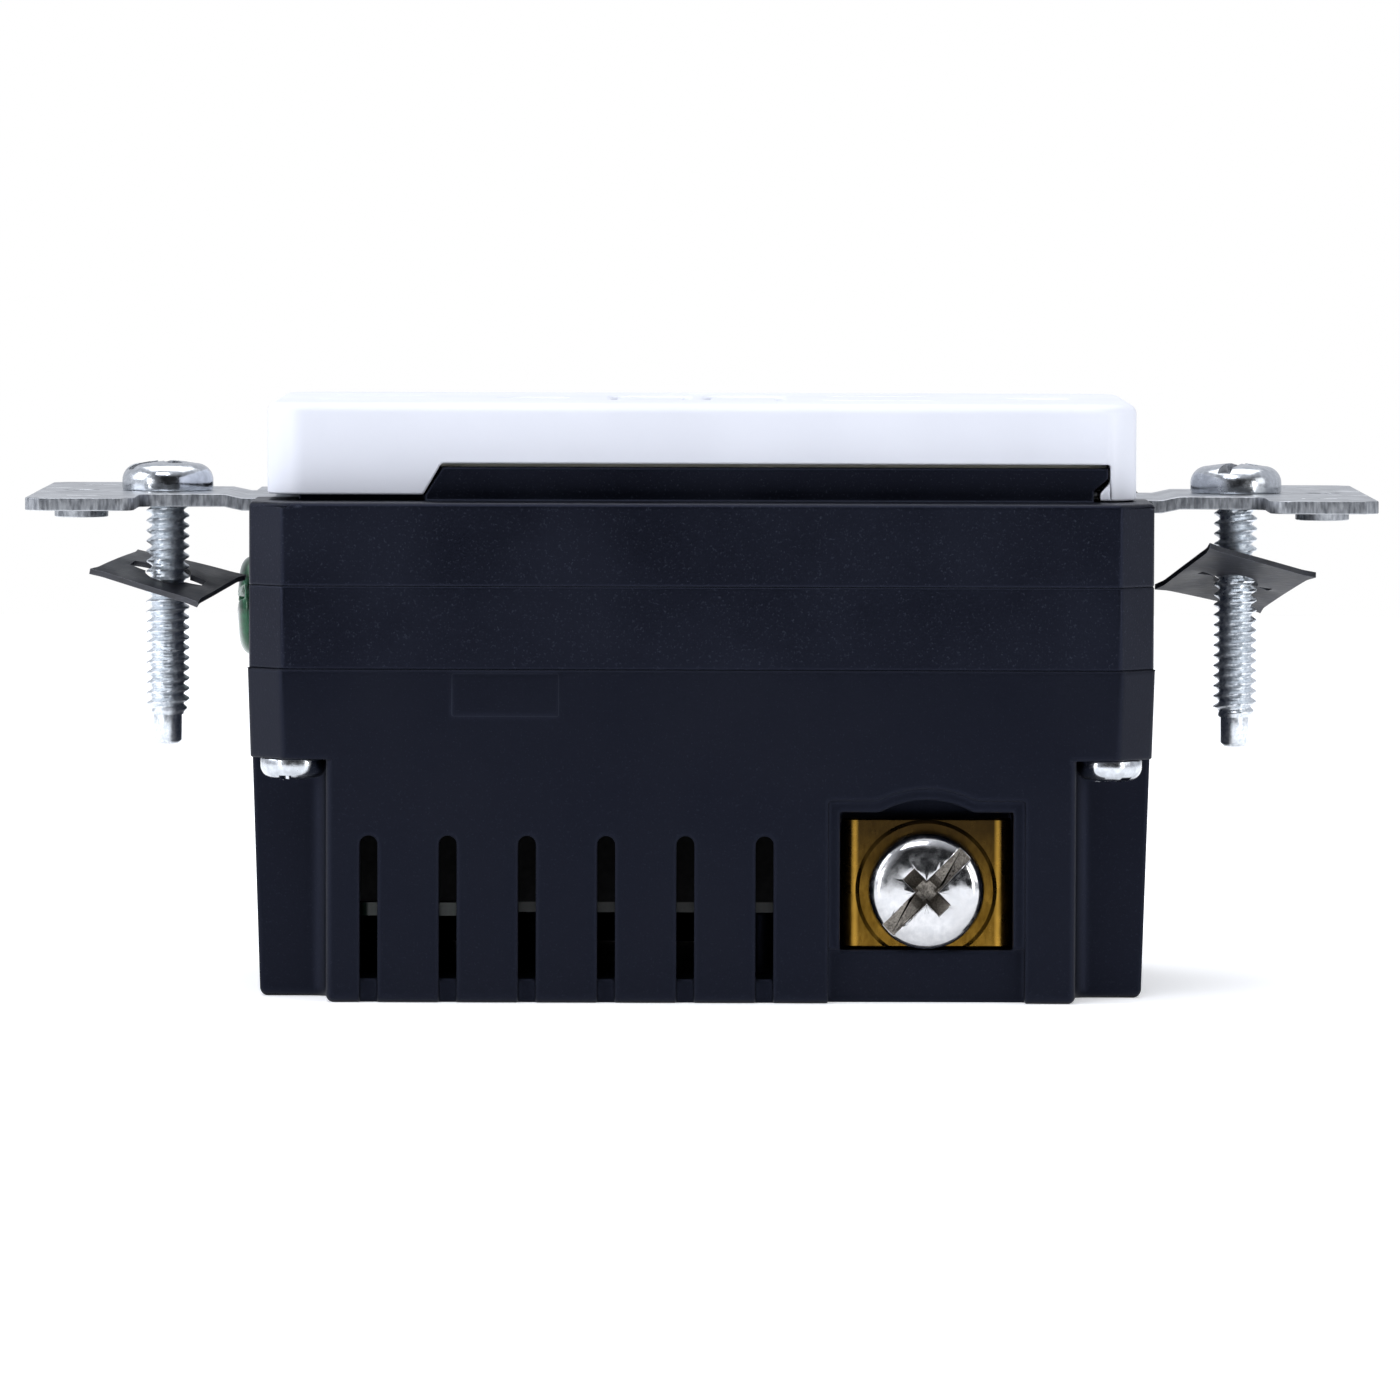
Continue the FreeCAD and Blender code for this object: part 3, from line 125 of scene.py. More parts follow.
def edge_wear_and_highlight(tree, reach):
    """0 on flat faces, rising to 1 on edges, within reach of them."""
    eased_normal = add(tree, "ShaderNodeBevel", {"Radius": reach}, samples=6).outputs["Normal"]
    true_normal = add(tree, "ShaderNodeNewGeometry").outputs["True Normal"]
    agree = add(tree, "ShaderNodeVectorMath", {0: eased_normal, 1: true_normal}, operation="DOT_PRODUCT")
    return between(tree, agree.outputs["Value"], 0.99, 0.8, 0.0, 1.0)


def moulded_nylon(name, deep, pale, edge, roughness, soft):
    """Black moulded nylon with slow drifts of tone, a fine grain, a painted edge highlight, and edges rounded
    by soft.
    """
    made, tree, shader, point = start_material(name, roughness)
    drift = noise(tree, point, 9 * MM, 4.0)
    # the real grain is about 0.05 mm, drawn at 0.16 mm so that it shows
    grain = noise(tree, point, 0.16 * MM, 3.0)
    tone = blended(tree, between(tree, drift, 0.35, 0.65, 0.0, 1.0), linear(deep), linear(pale))
    tone = blended(tree, between(tree, grain, 0.6, 0.8, 0.0, 0.8), tone, linear(edge))
    # painted highlight: the edge colour is laid along every edge
    tone = blended(tree, edge_wear_and_highlight(tree, 0.16 * MM), tone, linear(edge))
    tree.links.new(tone, shader.inputs["Base Color"])
    gloss = between(tree, drift, 0.3, 0.7, roughness - 0.05, roughness + 0.06)
    tree.links.new(gloss, shader.inputs["Roughness"])
    rounded = add(tree, "ShaderNodeBevel", {"Radius": soft}, samples=6).outputs["Normal"]
    relief = {"Strength": 0.35, "Distance": 0.03 * MM, "Height": grain, "Normal": rounded}
    bump = add(tree, "ShaderNodeBump", relief)
    tree.links.new(bump.outputs["Normal"], shader.inputs["Normal"])
    shader.inputs["Specular IOR Level"].default_value = 0.25
    shader.inputs["Specular Tint"].default_value = linear("C2CEFF")
    return made


def baked(holder):
    """The holder's evaluated mesh, with its modifiers applied. The holder itself is removed."""
    bpy.context.view_layer.update()
    mesh = bpy.data.meshes.new_from_object(holder.evaluated_get(bpy.context.evaluated_depsgraph_get()))
    bpy.data.objects.remove(holder)
    return mesh


def held(mesh, name):
    """A working object that holds a mesh."""
    holder = bpy.data.objects.new(name, mesh)
    bpy.context.collection.objects.link(holder)
    return holder


def eased(mesh, ease, turn=28):
    """The mesh with its sharp edges rounded by ease, and shading that stays flat on flat faces."""
    stray = 0.6 * ease
    surface = BVHTree.FromPolygons([v.co for v in mesh.vertices], [p.vertices for p in mesh.polygons])
    holder = held(mesh, "easing")
    bevel = holder.modifiers.new("Ease", "BEVEL")
    bevel.width = ease
    bevel.segments = 2
    bevel.limit_method = "ANGLE"
    bevel.angle_limit = math.radians(turn)
    bevel.miter_outer = "MITER_ARC"
    bevel.use_clamp_overlap = False
    rounded = baked(holder)
    # where edges crowd together a corner can be thrown off the surface, and is put back on it
    for corner in rounded.vertices:
        nearest, _, _, off = surface.find_nearest(corner.co)
        if off > stray:
            corner.co = nearest
    rounded.shade_smooth()
    rounded.set_sharp_from_angle(angle=math.radians(50))
    holder = held(rounded, "shading")
    shading = holder.modifiers.new("Shading", "WEIGHTED_NORMAL")
    shading.keep_sharp = True
    shading.weight = 100
    return baked(holder)


def merged(node):
    """A copy of a CAD node's mesh, its loose triangles merged and its flat faces made whole."""
    mesh = nodes[node].data.copy()
    mesh.materials.clear()
    work = bmesh.new()
    work.from_mesh(mesh)
    bmesh.ops.remove_doubles(work, verts=work.verts, dist=0.001 * MM)
    bmesh.ops.dissolve_limit(work, angle_limit=math.radians(0.5), verts=work.verts, edges=work.edges)
    work.to_mesh(mesh)
    work.free()
    return mesh


def softened(node, ease):
    """A copy of a CAD node's mesh with its edges eased."""
    return eased(merged(node), ease)


def piece(name, mesh, finish, body, slot, *stands_for):
    """Puts a finished mesh in the scene as one piece. With no body, it is left unattached."""
    made = held(mesh, name)
    mesh.name = name
    if mesh.materials:
        mesh.materials[0] = finish
    else:
        mesh.materials.append(finish)
    if body:
        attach(made, body)
    if stands_for:
        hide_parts(*stands_for)
    return made


lower_nylon = moulded_nylon("moulded_black_nylon_spark_grain", "020306", "050609", "1A1D24", 0.44, 0.5 * MM)
nylon_ease = 0.12 * MM
back_mesh = softened("back_housing", nylon_ease)
piece("back_tub", back_mesh, lower_nylon, "housing", "housing_plastic", "back_housing")

# ---- circuit board and its parts ----
# A green glass-epoxy laminate with the parts soldered to it. Cut from a sheet, it shows the weave through
# the solder resist. The parts are dipped, moulded or wound, each with its own gloss.


def coat(finish, *names):
    """Gives CAD nodes a finish, in the slots of their objects."""
    for name in names:
        for place in nodes[name].material_slots:
            place.material = finish


def plain_coating(name, low, high, roughness, lump, bump=0.2, ior=1.5):
    """A dipped or moulded coating: two near tones and a soft orange-peel surface."""
    made, tree, shader, point = start_material(name, roughness, 0.0, ior)
    lumps = noise(tree, point, lump, 4.0)
    tone = blended(tree, between(tree, lumps, 0.3, 0.7, 0.0, 1.0), linear(low), linear(high))
    tree.links.new(tone, shader.inputs["Base Color"])
    gloss = between(tree, lumps, 0.3, 0.7, roughness - 0.06, roughness + 0.08)
    tree.links.new(gloss, shader.inputs["Roughness"])
    height = add(tree, "ShaderNodeBump", {"Strength": bump, "Distance": lump / 12, "Height": lumps})
    tree.links.new(height.outputs["Normal"], shader.inputs["Normal"])
    return made


def glass_laminate():
    """Green solder resist over a plain glass weave, whose threads are 0.4 mm apart."""
    made, tree, shader, point = start_material("glass_epoxy_laminate_resist", 0.3)
    # a wave of scale 1 repeats every 0.31, and a woven thread every 0.4 mm
    waves = {"Vector": point, "Scale": 0.31 / (0.4 * MM)}
    warp = add(tree, "ShaderNodeTexWave", waves, bands_direction="X").outputs["Fac"]
    weft = add(tree, "ShaderNodeTexWave", waves, bands_direction="Y").outputs["Fac"]
    weave = add(tree, "ShaderNodeMath", {0: warp, 1: weft}, operation="MULTIPLY").outputs[0]
    tree.links.new(blended(tree, weave, linear("08150E"), linear("0D1F16")), shader.inputs["Base Color"])
    return made


coat(glass_laminate(), "circuit_board")

# Black fish paper, 0.2 mm thick, keeps what is pushed in through a vent off the parts. It is made near black
# as painted shade, so that the vents look dark inside. One sheet is folded to an L and slipped between the
# board's far edge and the wall. The other stands on the board along its near edge.
paper_thick = 0.2 * MM
board_low, board_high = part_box("circuit_board")
tub_low, tub_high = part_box("back_housing")
barrier_y = board_high[1] + 0.1 * MM
barrier_floor = tub_low[2] + 1.9 * MM
barrier_top = board_high[2] + 5.6 * MM
barrier_foot = 4.0 * MM
barrier_ends = (-26.5 * MM, 8.0 * MM)


def drawn_out(section, ends, steps=12):
    """A closed section of (y, z) points drawn out along X between two ends."""
    work = bmesh.new()
    rows = []
    for i in range(steps + 1):
        x = ends[0] + (ends[1] - ends[0]) * i / steps
        rows.append([work.verts.new((x, y, z)) for y, z in section])
    for a, b in zip(rows, rows[1:]):
        for k in range(len(section)):
            work.faces.new((a[k], a[(k + 1) % len(section)], b[(k + 1) % len(section)], b[k]))
    work.faces.new(rows[0][::-1])
    work.faces.new(rows[-1])
    bmesh.ops.recalc_face_normals(work, faces=work.faces)
    mesh = bpy.data.meshes.new("drawn")
    work.to_mesh(mesh)
    work.free()
    return mesh


folded = [(barrier_y - barrier_foot, barrier_floor + paper_thick),
          (barrier_y - 2 * paper_thick, barrier_floor + paper_thick),
          (barrier_y, barrier_floor + 3 * paper_thick),
          (barrier_y, barrier_top),
          (barrier_y + paper_thick, barrier_top),
          (barrier_y + paper_thick, barrier_floor + 2 * paper_thick),
          (barrier_y - paper_thick, barrier_floor),
          (barrier_y - barrier_foot, barrier_floor)]
fence_y = board_low[1] + 0.6 * MM
fence_lip = 0.7 * MM
fence_rise = 0.2 * MM
fence_floor = board_high[2] + 0.05 * MM
fence = [(fence_y, fence_floor),
         (fence_y, barrier_top),
         (fence_y + fence_lip, barrier_top + fence_rise),
         (fence_y + fence_lip, barrier_top + fence_rise + paper_thick),
         (fence_y - 0.5 * paper_thick, barrier_top + paper_thick),
         (fence_y - paper_thick, barrier_top),
         (fence_y - paper_thick, fence_floor)]
# their near-black is painted shade inside the vents
shade_paper = plain_coating("fish_paper_painted_shade", "010102", "030304", 0.8, 0.5 * MM, 0.4, 1.3)
piece("barrier_sheet", drawn_out(folded, barrier_ends), shade_paper, "housing", "fibre")
piece("barrier_fence", drawn_out(fence, barrier_ends), shade_paper, "housing", "fibre")

coat(plain_coating("dipped_epoxy_blue", "23508E", "2E63A8", 0.32, 1.2 * MM), "varistor")
coat(plain_coating("shrunk_pvc_sleeve_dark", "16202E", "1D2B3D", 0.3, 2.0 * MM), "supply_capacitor")
coat(plain_coating("moulded_polyester_yellow", "C48A1C", "D39B2A", 0.35, 2.0 * MM), "film_capacitor")
chip_epoxy = plain_coating("moulded_epoxy_black_matte", "121214", "1B1B1E", 0.55, 0.5 * MM, 0.3)
coat(chip_epoxy, "thyristor", "control_chip")
coat(plain_coating("baked_lacquer_tan", "B79A6B", "C8AE80", 0.4, 0.6 * MM), "resistors")
coat(plain_coating("moulded_epoxy_diode", "17171A", "222226", 0.45, 0.4 * MM), "diodes")

# ---- ground-fault sensor ----
# Two small ring cores in a nylon cup, with both line conductors passed through them. Ferrite is pressed and
# fired, so it is dark grey and slightly gritty. The cup is a pale natural nylon.
ferrite = plain_coating("fired_ferrite_gritty", "26272B", "37383D", 0.62, 0.3 * MM, 0.5)
coat(ferrite, "sensing_core", "ground_neutral_core")
natural_nylon = plain_coating("moulded_natural_nylon", "CFCBBD", "DBD8CC", 0.42, 1.5 * MM)
coat(natural_nylon, "sensor_case", "solenoid_bobbin", "latch_carrier", "shutter_tray")

# ---- line conductors, contacts and moving arms ----
# Copper bars and brass strips, blanked and bent, with silver pads riveted on. Their faces keep the long
# marks of the rolling mill.


def worked_metal(name, dull, bright, roughness, grain, stretch=(1, 1, 1), bump=0.25, spots=None):
    """Bare or plated metal with fine marks of its working, along the axis that stretch makes long."""
    made, tree, shader, point = start_material(name, roughness, 1.0)
    marks = noise(tree, point, grain, 4.0, stretch)
    clouds = noise(tree, point, 2.4 * MM, 3.0)
    tone = blended(tree, between(tree, marks, 0.35, 0.65, 0.0, 1.0), linear(dull), linear(bright))
    tone = blended(tree, between(tree, clouds, 0.4, 0.75, 0.0, 0.45), tone, linear(spots or dull))
    tree.links.new(tone, shader.inputs["Base Color"])
    mixed = add(tree, "ShaderNodeMath", {0: marks, 1: clouds}, operation="ADD").outputs[0]
    gloss = between(tree, mixed, 0.7, 1.3, roughness - 0.1, roughness + 0.12)
    tree.links.new(gloss, shader.inputs["Roughness"])
    height = add(tree, "ShaderNodeBump", {"Strength": bump, "Distance": grain / 8, "Height": marks})
    tree.links.new(height.outputs["Normal"], shader.inputs["Normal"])
    return made


copper = worked_metal("rolled_copper", "A4593A", "D08A62", 0.3, 0.2 * MM, (0.15, 1, 1))
strip_brass = worked_metal("rolled_brass_strip", "8F6D22", "CDA545", 0.3, 0.15 * MM, (0.1, 1, 1))
coat(copper, "hot_line_conductor", "neutral_line_conductor", "solenoid_winding")
coat(strip_brass, "hot_contact_strip", "neutral_contact_strip", "hot_contact_arm", "neutral_contact_arm")
coat(worked_metal("coined_silver_pad", "B9B9B6", "E6E5E1", 0.25, 0.3 * MM), "fixed_contact_pads")

# ---- solenoid and latch ----
# A copper coil on a nylon bobbin in a bent steel frame. Its plunger trips the latch. The frame, plunger and
# latch are blanked mild steel, lightly oiled.
mild_steel = worked_metal("blanked_mild_steel_oiled", "5C5E61", "8E9092", 0.36, 0.2 * MM, (1, 0.3, 1))
spring_steel = worked_metal("drawn_spring_steel", "6E7073", "B3B5B8", 0.24, 0.1 * MM, (1, 1, 0.2))
coat(mild_steel, "solenoid_frame", "solenoid_plunger", "latch_plate")
node = "plunger_spring"
coil = piece(node + "_coiled", merged(node), spring_steel, None, "spring_steel", node)
low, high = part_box(node)
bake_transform(coil)

# ---- line terminals ----
# A tapped brass plate fixed in each pocket and a loose brass clamp plate under a large nickel-plated screw.
# The clamp is blanked and pressed: its sides fold back as flanges, and a round boss is coined behind the
# screw head.
terminal_low, terminal_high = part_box("hot_terminal_screw")
terminal_x = 0.5 * (terminal_low[0] + terminal_high[0])
terminal_at = Vector((terminal_x, 0, 0.5 * (terminal_low[2] + terminal_high[2])))
boss_r = 5.25 * MM
boss_width = 0.15 * MM
clamp_low, clamp_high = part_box("hot_clamp_plate")
clamp_bend = 1.0 * MM
clamp_thick = 1.0 * MM
bend_line = 0.5 * (clamp_high[0] - clamp_low[0]) - clamp_bend


def coined_brass():
    """Rolled brass, a boss coined round the screw, painted shade above it and a painted highlight along its
    bends.
    """
    made, tree, shader, point = start_material("coined_brass_clamp", 0.3, 1.0)
    marks = noise(tree, point, 0.3 * MM, 3.0, (1, 1, 0.4))
    clouds = noise(tree, point, 1.8 * MM, 3.0)
    # these base tones are darker than bare brass: painted shade for the pocket the clamp sits in
    tone = blended(tree, between(tree, marks, 0.35, 0.65, 0.0, 1.0), linear("6B4F1A"), linear("7E6024"))
    tone = blended(tree, between(tree, clouds, 0.45, 0.7, 0.0, 0.4), tone, linear("4A3610"))
    at = add(tree, "ShaderNodeSeparateXYZ", {0: point}).outputs
    # painted shade: the brass is darker above the screw, where the pocket shades it
    above = between(tree, at["Z"], terminal_at.z - 1.5 * MM, terminal_at.z + 4.5 * MM, 0.0, 0.85)
    tone = blended(tree, above, tone, linear("2B2114"))
    # painted highlight: pale brass laid in a band along each bend
    across = add(tree, "ShaderNodeMath", {0: at["X"], 1: terminal_at.x}, operation="SUBTRACT").outputs[0]
    across = add(tree, "ShaderNodeMath", {0: across}, operation="ABSOLUTE").outputs[0]
    from_bend = add(tree, "ShaderNodeMath", {0: across, 1: bend_line}, operation="SUBTRACT").outputs[0]
    from_bend = add(tree, "ShaderNodeMath", {0: from_bend}, operation="ABSOLUTE").outputs[0]
    tone = blended(tree, between(tree, from_bend, 0.05 * MM, 0.3 * MM, 0.9, 0.0), tone, linear("B58C3A"))
    tree.links.new(tone, shader.inputs["Base Color"])
    tree.links.new(between(tree, clouds, 0.3, 0.7, 0.2, 0.42), shader.inputs["Roughness"])
    flat = add(tree, "ShaderNodeVectorMath", {0: point, 1: (1, 0, 1)}, operation="MULTIPLY").outputs[0]
    apart = add(tree, "ShaderNodeVectorMath", {0: flat, 1: tuple(terminal_at)}, operation="DISTANCE")
    radius = apart.outputs["Value"]
    boss = between(tree, radius, boss_r - boss_width, boss_r + boss_width, 0.2, 0.0)
    fine = add(tree, "ShaderNodeMath", {0: marks, 1: 0.004}, operation="MULTIPLY").outputs[0]
    relief = add(tree, "ShaderNodeMath", {0: boss, 1: fine}, operation="ADD").outputs[0]
    height = add(tree, "ShaderNodeBump", {"Strength": 1.0, "Distance": 1.0 * MM, "Height": relief})
    tree.links.new(height.outputs["Normal"], shader.inputs["Normal"])
    return made


def circle(work, r, z, steps, across=0.0):
    """A ring of new corners about Z, its centre moved across in Y."""
    turns = [2 * math.pi * k / steps for k in range(steps)]
    return [work.verts.new((r * math.cos(a), across + r * math.sin(a), z)) for a in turns]


def turned(profile, steps=64):
    """A closed solid of revolution about Z. profile's (radius, height) points start and end on the axis."""
    work = bmesh.new()
    first = work.verts.new((0, 0, profile[0][1]))
    last = work.verts.new((0, 0, profile[-1][1]))
    rings = [circle(work, r, z, steps) for r, z in profile[1:-1]]
    for k in range(steps):
        after = (k + 1) % steps
        work.faces.new((first, rings[0][after], rings[0][k]))
        work.faces.new((last, rings[-1][k], rings[-1][after]))
        for low, high in zip(rings, rings[1:]):
            work.faces.new((low[k], low[after], high[after], high[k]))
    bmesh.ops.recalc_face_normals(work, faces=work.faces)
    mesh = bpy.data.meshes.new("turned")
    work.to_mesh(mesh)
    work.free()
    return mesh


def pan_head(r, height):
    """A cold-headed pan head on Z 0: a rounded foot, a short side and a dome, flatter in the middle."""
    profile = [(0, 0), (r - 0.09 * height, 0), (r - 0.02 * height, 0.03 * height)]
    profile += [(r, 0.1 * height), (r, 0.34 * height)]
    for i in range(1, 11):
        turn = math.radians(9 * i)
        profile.append((r * (0.62 + 0.38 * math.cos(turn)), height * (0.34 + 0.55 * math.sin(turn))))
    profile += [(r * 0.4, height * 0.945), (r * 0.2, height * 0.985), (0, height)]
    return turned(profile)


def prong(reach, width, depth, shrink):
    """A block that tapers downwards, from Z 0.6 mm above its mouth to depth below it."""
    work = bmesh.new()
    rings = []
    for z, k in ((0.6 * MM, 1.0), (0.0, 1.0), (-depth, shrink)):
        half = width / 2 * (0.5 + 0.5 * k)
        corners = ((-1, -1), (1, -1), (1, 1), (-1, 1))
        rings.append([work.verts.new((sx * reach * k, sy * half, z)) for sx, sy in corners])
    for low, high in zip(rings, rings[1:]):
        for k in range(4):
            work.faces.new((low[k], high[k], high[(k + 1) % 4], low[(k + 1) % 4]))
    work.faces.new(rings[0])
    work.faces.new(rings[-1][::-1])
    bmesh.ops.recalc_face_normals(work, faces=work.faces)
    mesh = bpy.data.meshes.new("prong")
    work.to_mesh(mesh)
    work.free()
    return mesh


def struck(head, height, cuts, outside, inside):
    """The head with a recess struck into its top. cuts gives each prong's size and its turn in degrees."""
    holder = held(head, "struck")
    head.materials.append(outside)
    tools = []
    for size, turn in cuts:
        tool = held(prong(*size), "punch")
        tool.data.materials.append(inside)
        tool.data.transform(Matrix.Translation((0, 0, height)) @ Matrix.Rotation(math.radians(turn), 4, "Z"))
        cut = holder.modifiers.new("Recess", "BOOLEAN")
        cut.operation = "DIFFERENCE"
        cut.solver = "EXACT"
        cut.material_mode = "TRANSFER"
        cut.object = tool
        tools.append(tool)
    made = baked(holder)
    for tool in tools:
        bpy.data.objects.remove(tool)
    return made


def start_growth(name, **sockets):
    """A new Geometry Nodes tree with these named inputs of these kinds: itself and its inputs."""
    tree = bpy.data.node_groups.new(name, "GeometryNodeTree")
    tree.is_modifier = True
    for socket, kind in sockets.items():
        tree.interface.new_socket(socket, in_out="INPUT", socket_type="NodeSocket" + kind)
    tree.interface.new_socket("Geometry", in_out="OUTPUT", socket_type="NodeSocketGeometry")
    return tree, add(tree, "NodeGroupInput").outputs


def end_growth(tree, geometry, finish):
    """Makes the tree's instances real, gives them their finish and hands them out."""
    real = add(tree, "GeometryNodeRealizeInstances", {0: geometry}).outputs[0]
    done = add(tree, "GeometryNodeSetMaterial", {"Geometry": real, "Material": finish}).outputs[0]
    add(tree, "NodeGroupOutput", {"Geometry": done})
    return tree


def rolled_thread():
    """A node tree that makes a threaded rod: a cylinder on Z 0 whose radius follows a helix."""
    tree, given = start_growth("rolled_thread", Crest="Float", Root="Float", Pitch="Float", Length="Float",
                               Rows="Int", Finish="Material")
    sizes = {"Vertices": 28, "Side Segments": given["Rows"], "Radius": given["Crest"],
             "Depth": given["Length"]}
    rod = add(tree, "GeometryNodeMeshCylinder", sizes).outputs["Mesh"]
    place = add(tree, "GeometryNodeInputPosition").outputs[0]
    axes = add(tree, "ShaderNodeSeparateXYZ", {0: place}).outputs
    angle = add(tree, "ShaderNodeMath", {0: axes["Y"], 1: axes["X"]}, operation="ARCTAN2").outputs[0]
    turns = add(tree, "ShaderNodeMath", {0: angle, 1: 2 * math.pi}, operation="DIVIDE").outputs[0]
    climb = add(tree, "ShaderNodeMath", {0: axes["Z"], 1: given["Pitch"]}, operation="DIVIDE").outputs[0]
    phase = add(tree, "ShaderNodeMath", {0: climb, 1: turns}, operation="SUBTRACT").outputs[0]
    phase = add(tree, "ShaderNodeMath", {0: phase}, operation="FRACT").outputs[0]
    from_crest = add(tree, "ShaderNodeMath", {0: phase, 1: 0.5}, operation="SUBTRACT").outputs[0]
    from_crest = add(tree, "ShaderNodeMath", {0: from_crest}, operation="ABSOLUTE").outputs[0]
    profile = between(tree, from_crest, 0.06, 0.42, 1.0, 0.0)
    half = add(tree, "ShaderNodeMath", {0: given["Length"], 1: 0.5}, operation="MULTIPLY").outputs[0]
    height = add(tree, "ShaderNodeMath", {0: axes["Z"]}, operation="ABSOLUTE").outputs[0]
    inside = add(tree, "ShaderNodeMath", {0: half, 1: height}, operation="SUBTRACT").outputs[0]
    fade = add(tree, "ShaderNodeMapRange", {"Value": inside, "From Max": given["Pitch"]}).outputs["Result"]
    profile = add(tree, "ShaderNodeMath", {0: profile, 1: fade}, operation="MULTIPLY").outputs[0]
    radii = {"Value": profile, "To Min": given["Root"], "To Max": given["Crest"]}
    radius = add(tree, "ShaderNodeMapRange", radii).outputs["Result"]
    shrink = add(tree, "ShaderNodeMath", {0: radius, 1: given["Crest"]}, operation="DIVIDE").outputs[0]
    factors = add(tree, "ShaderNodeCombineXYZ", {"X": shrink, "Y": shrink, "Z": 1.0}).outputs[0]
    moved = add(tree, "ShaderNodeVectorMath", {0: place, 1: factors}, operation="MULTIPLY").outputs[0]
    shaped = add(tree, "GeometryNodeSetPosition", {"Geometry": rod, "Position": moved}).outputs[0]
    return end_growth(tree, shaped, given["Finish"])


def grown(tree, values):
    """The plain mesh that a Geometry Nodes tree makes with these named values."""
    holder = held(bpy.data.meshes.new("grown"), "grown")
    growth = holder.modifiers.new("Growth", "NODES")
    growth.node_group = tree
    for socket in tree.interface.items_tree:
        if socket.item_type == "SOCKET" and socket.in_out == "INPUT" and socket.name in values:
            growth[socket.identifier] = values[socket.name]
    return baked(holder)


thread_tree = rolled_thread()


def threaded(crest, root, pitch, low, high, finish):
    """A threaded rod along Z from low to high."""
    length = high - low
    rod = grown(thread_tree, {"Crest": crest, "Root": root, "Pitch": pitch, "Length": length,
                              "Rows": int(8 * length / pitch), "Finish": finish})
    rod.transform(Matrix.Translation((0, 0, 0.5 * (low + high))))
    return rod


def together(*meshes):
    """One mesh that holds all of these, each with its own materials."""
    work = bmesh.new()
    made = bpy.data.meshes.new("together")
    for mesh in meshes:
        first = len(work.faces)
        work.from_mesh(mesh)
        work.faces.ensure_lookup_table()
        for face in work.faces[first:]:
            face.material_index += len(made.materials)
        for finish in mesh.materials:
            made.materials.append(finish)
    work.to_mesh(made)
    work.free()
    made.shade_smooth()
    made.set_sharp_from_angle(angle=math.radians(38))
    return made


def aimed(mesh, origin, axis):
    """The mesh, built along +Z, turned to point along axis and moved to its origin."""
    mesh.transform(Matrix.Translation(origin) @ Vector(axis).to_track_quat("Z", "Y").to_matrix().to_4x4())
    return mesh


def combination_recess(r, slot_width, slot_depth, cross_reach, cross_width, cross_depth, turn):
    """A straight slot across the whole head, and a cross whose arms taper inwards as they go down."""
    slot = (r + 1 * MM, slot_width, slot_depth, 1.0)
    arm = (cross_reach, cross_width, cross_depth, 0.35)
    return [(slot, turn), (arm, turn), (arm, turn + 90)]


def bent_clamp(side, way):
    """A strip bent down at both sides, with a hole for the screw. way is the side of the housing it faces."""
    low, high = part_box(side + "_clamp_plate")
    half, outer = 0.5 * (high[0] - low[0]), max(abs(low[1]), abs(high[1]))
    tip = min(abs(low[1]), abs(high[1]))
    bend, thick = clamp_bend, clamp_thick
    arc = [math.radians(a) for a in range(0, 91, 15)]
    corner = [(half - bend + bend * math.sin(a), outer - bend + bend * math.cos(a)) for a in arc]
    inner = [(half - thick, tip), (half - thick, outer - thick)]
    right = corner + [(half, tip)] + inner
    section = right + [(-x, y) for x, y in right[::-1]]
    work = bmesh.new()
    rows = [[work.verts.new((terminal_at.x + x, way * y, z)) for x, y in section] for z in (low[2], high[2])]
    for k in range(len(section)):
        after = (k + 1) % len(section)
        work.faces.new((rows[0][k], rows[0][after], rows[1][after], rows[1][k]))
    work.faces.new(rows[0][::-1])
    work.faces.new(rows[1])
    bmesh.ops.recalc_face_normals(work, faces=work.faces)
    mesh = bpy.data.meshes.new("clamp")
    work.to_mesh(mesh)
    work.free()
    holder = held(mesh, "clamp")
    drill_r = 2.35 * MM
    rod = turned([(0, 0), (drill_r, 0), (drill_r, 2 * outer), (0, 2 * outer)], 48)
    drill = held(aimed(rod, (terminal_at.x, 0, terminal_at.z), (0, way, 0)), "drill")
    hole = holder.modifiers.new("Hole", "BOOLEAN")
    hole.operation = "DIFFERENCE"
    hole.solver = "EXACT"
    hole.object = drill
    made = baked(holder)
    bpy.data.objects.remove(drill)
    return eased(made, 0.12 * MM, 40)


clamp_brass = coined_brass()
metal_ease = 0.1 * MM
screw_nickel = worked_metal("nickel_plated_steel_screw", "C4C5C7", "D6D6D7", 0.14, 0.5 * MM,
                            bump=0.05, spots="AFAFB0")
# the recess is rough from striking, and its darker tones are painted shade in the hollow
recess_nickel_shaded = worked_metal("struck_recess_nickel_painted_shade", "5B5751", "98928A", 0.36, 0.12 * MM,
                             bump=0.6, spots="4A4640")
head_height = 2.3 * MM
head_r = 0.5 * (terminal_high[0] - terminal_low[0])
head_ease = 0.05 * MM
shank_r = 2.05 * MM
shank_root_r = 1.65 * MM
shank_overlap = 0.05 * MM
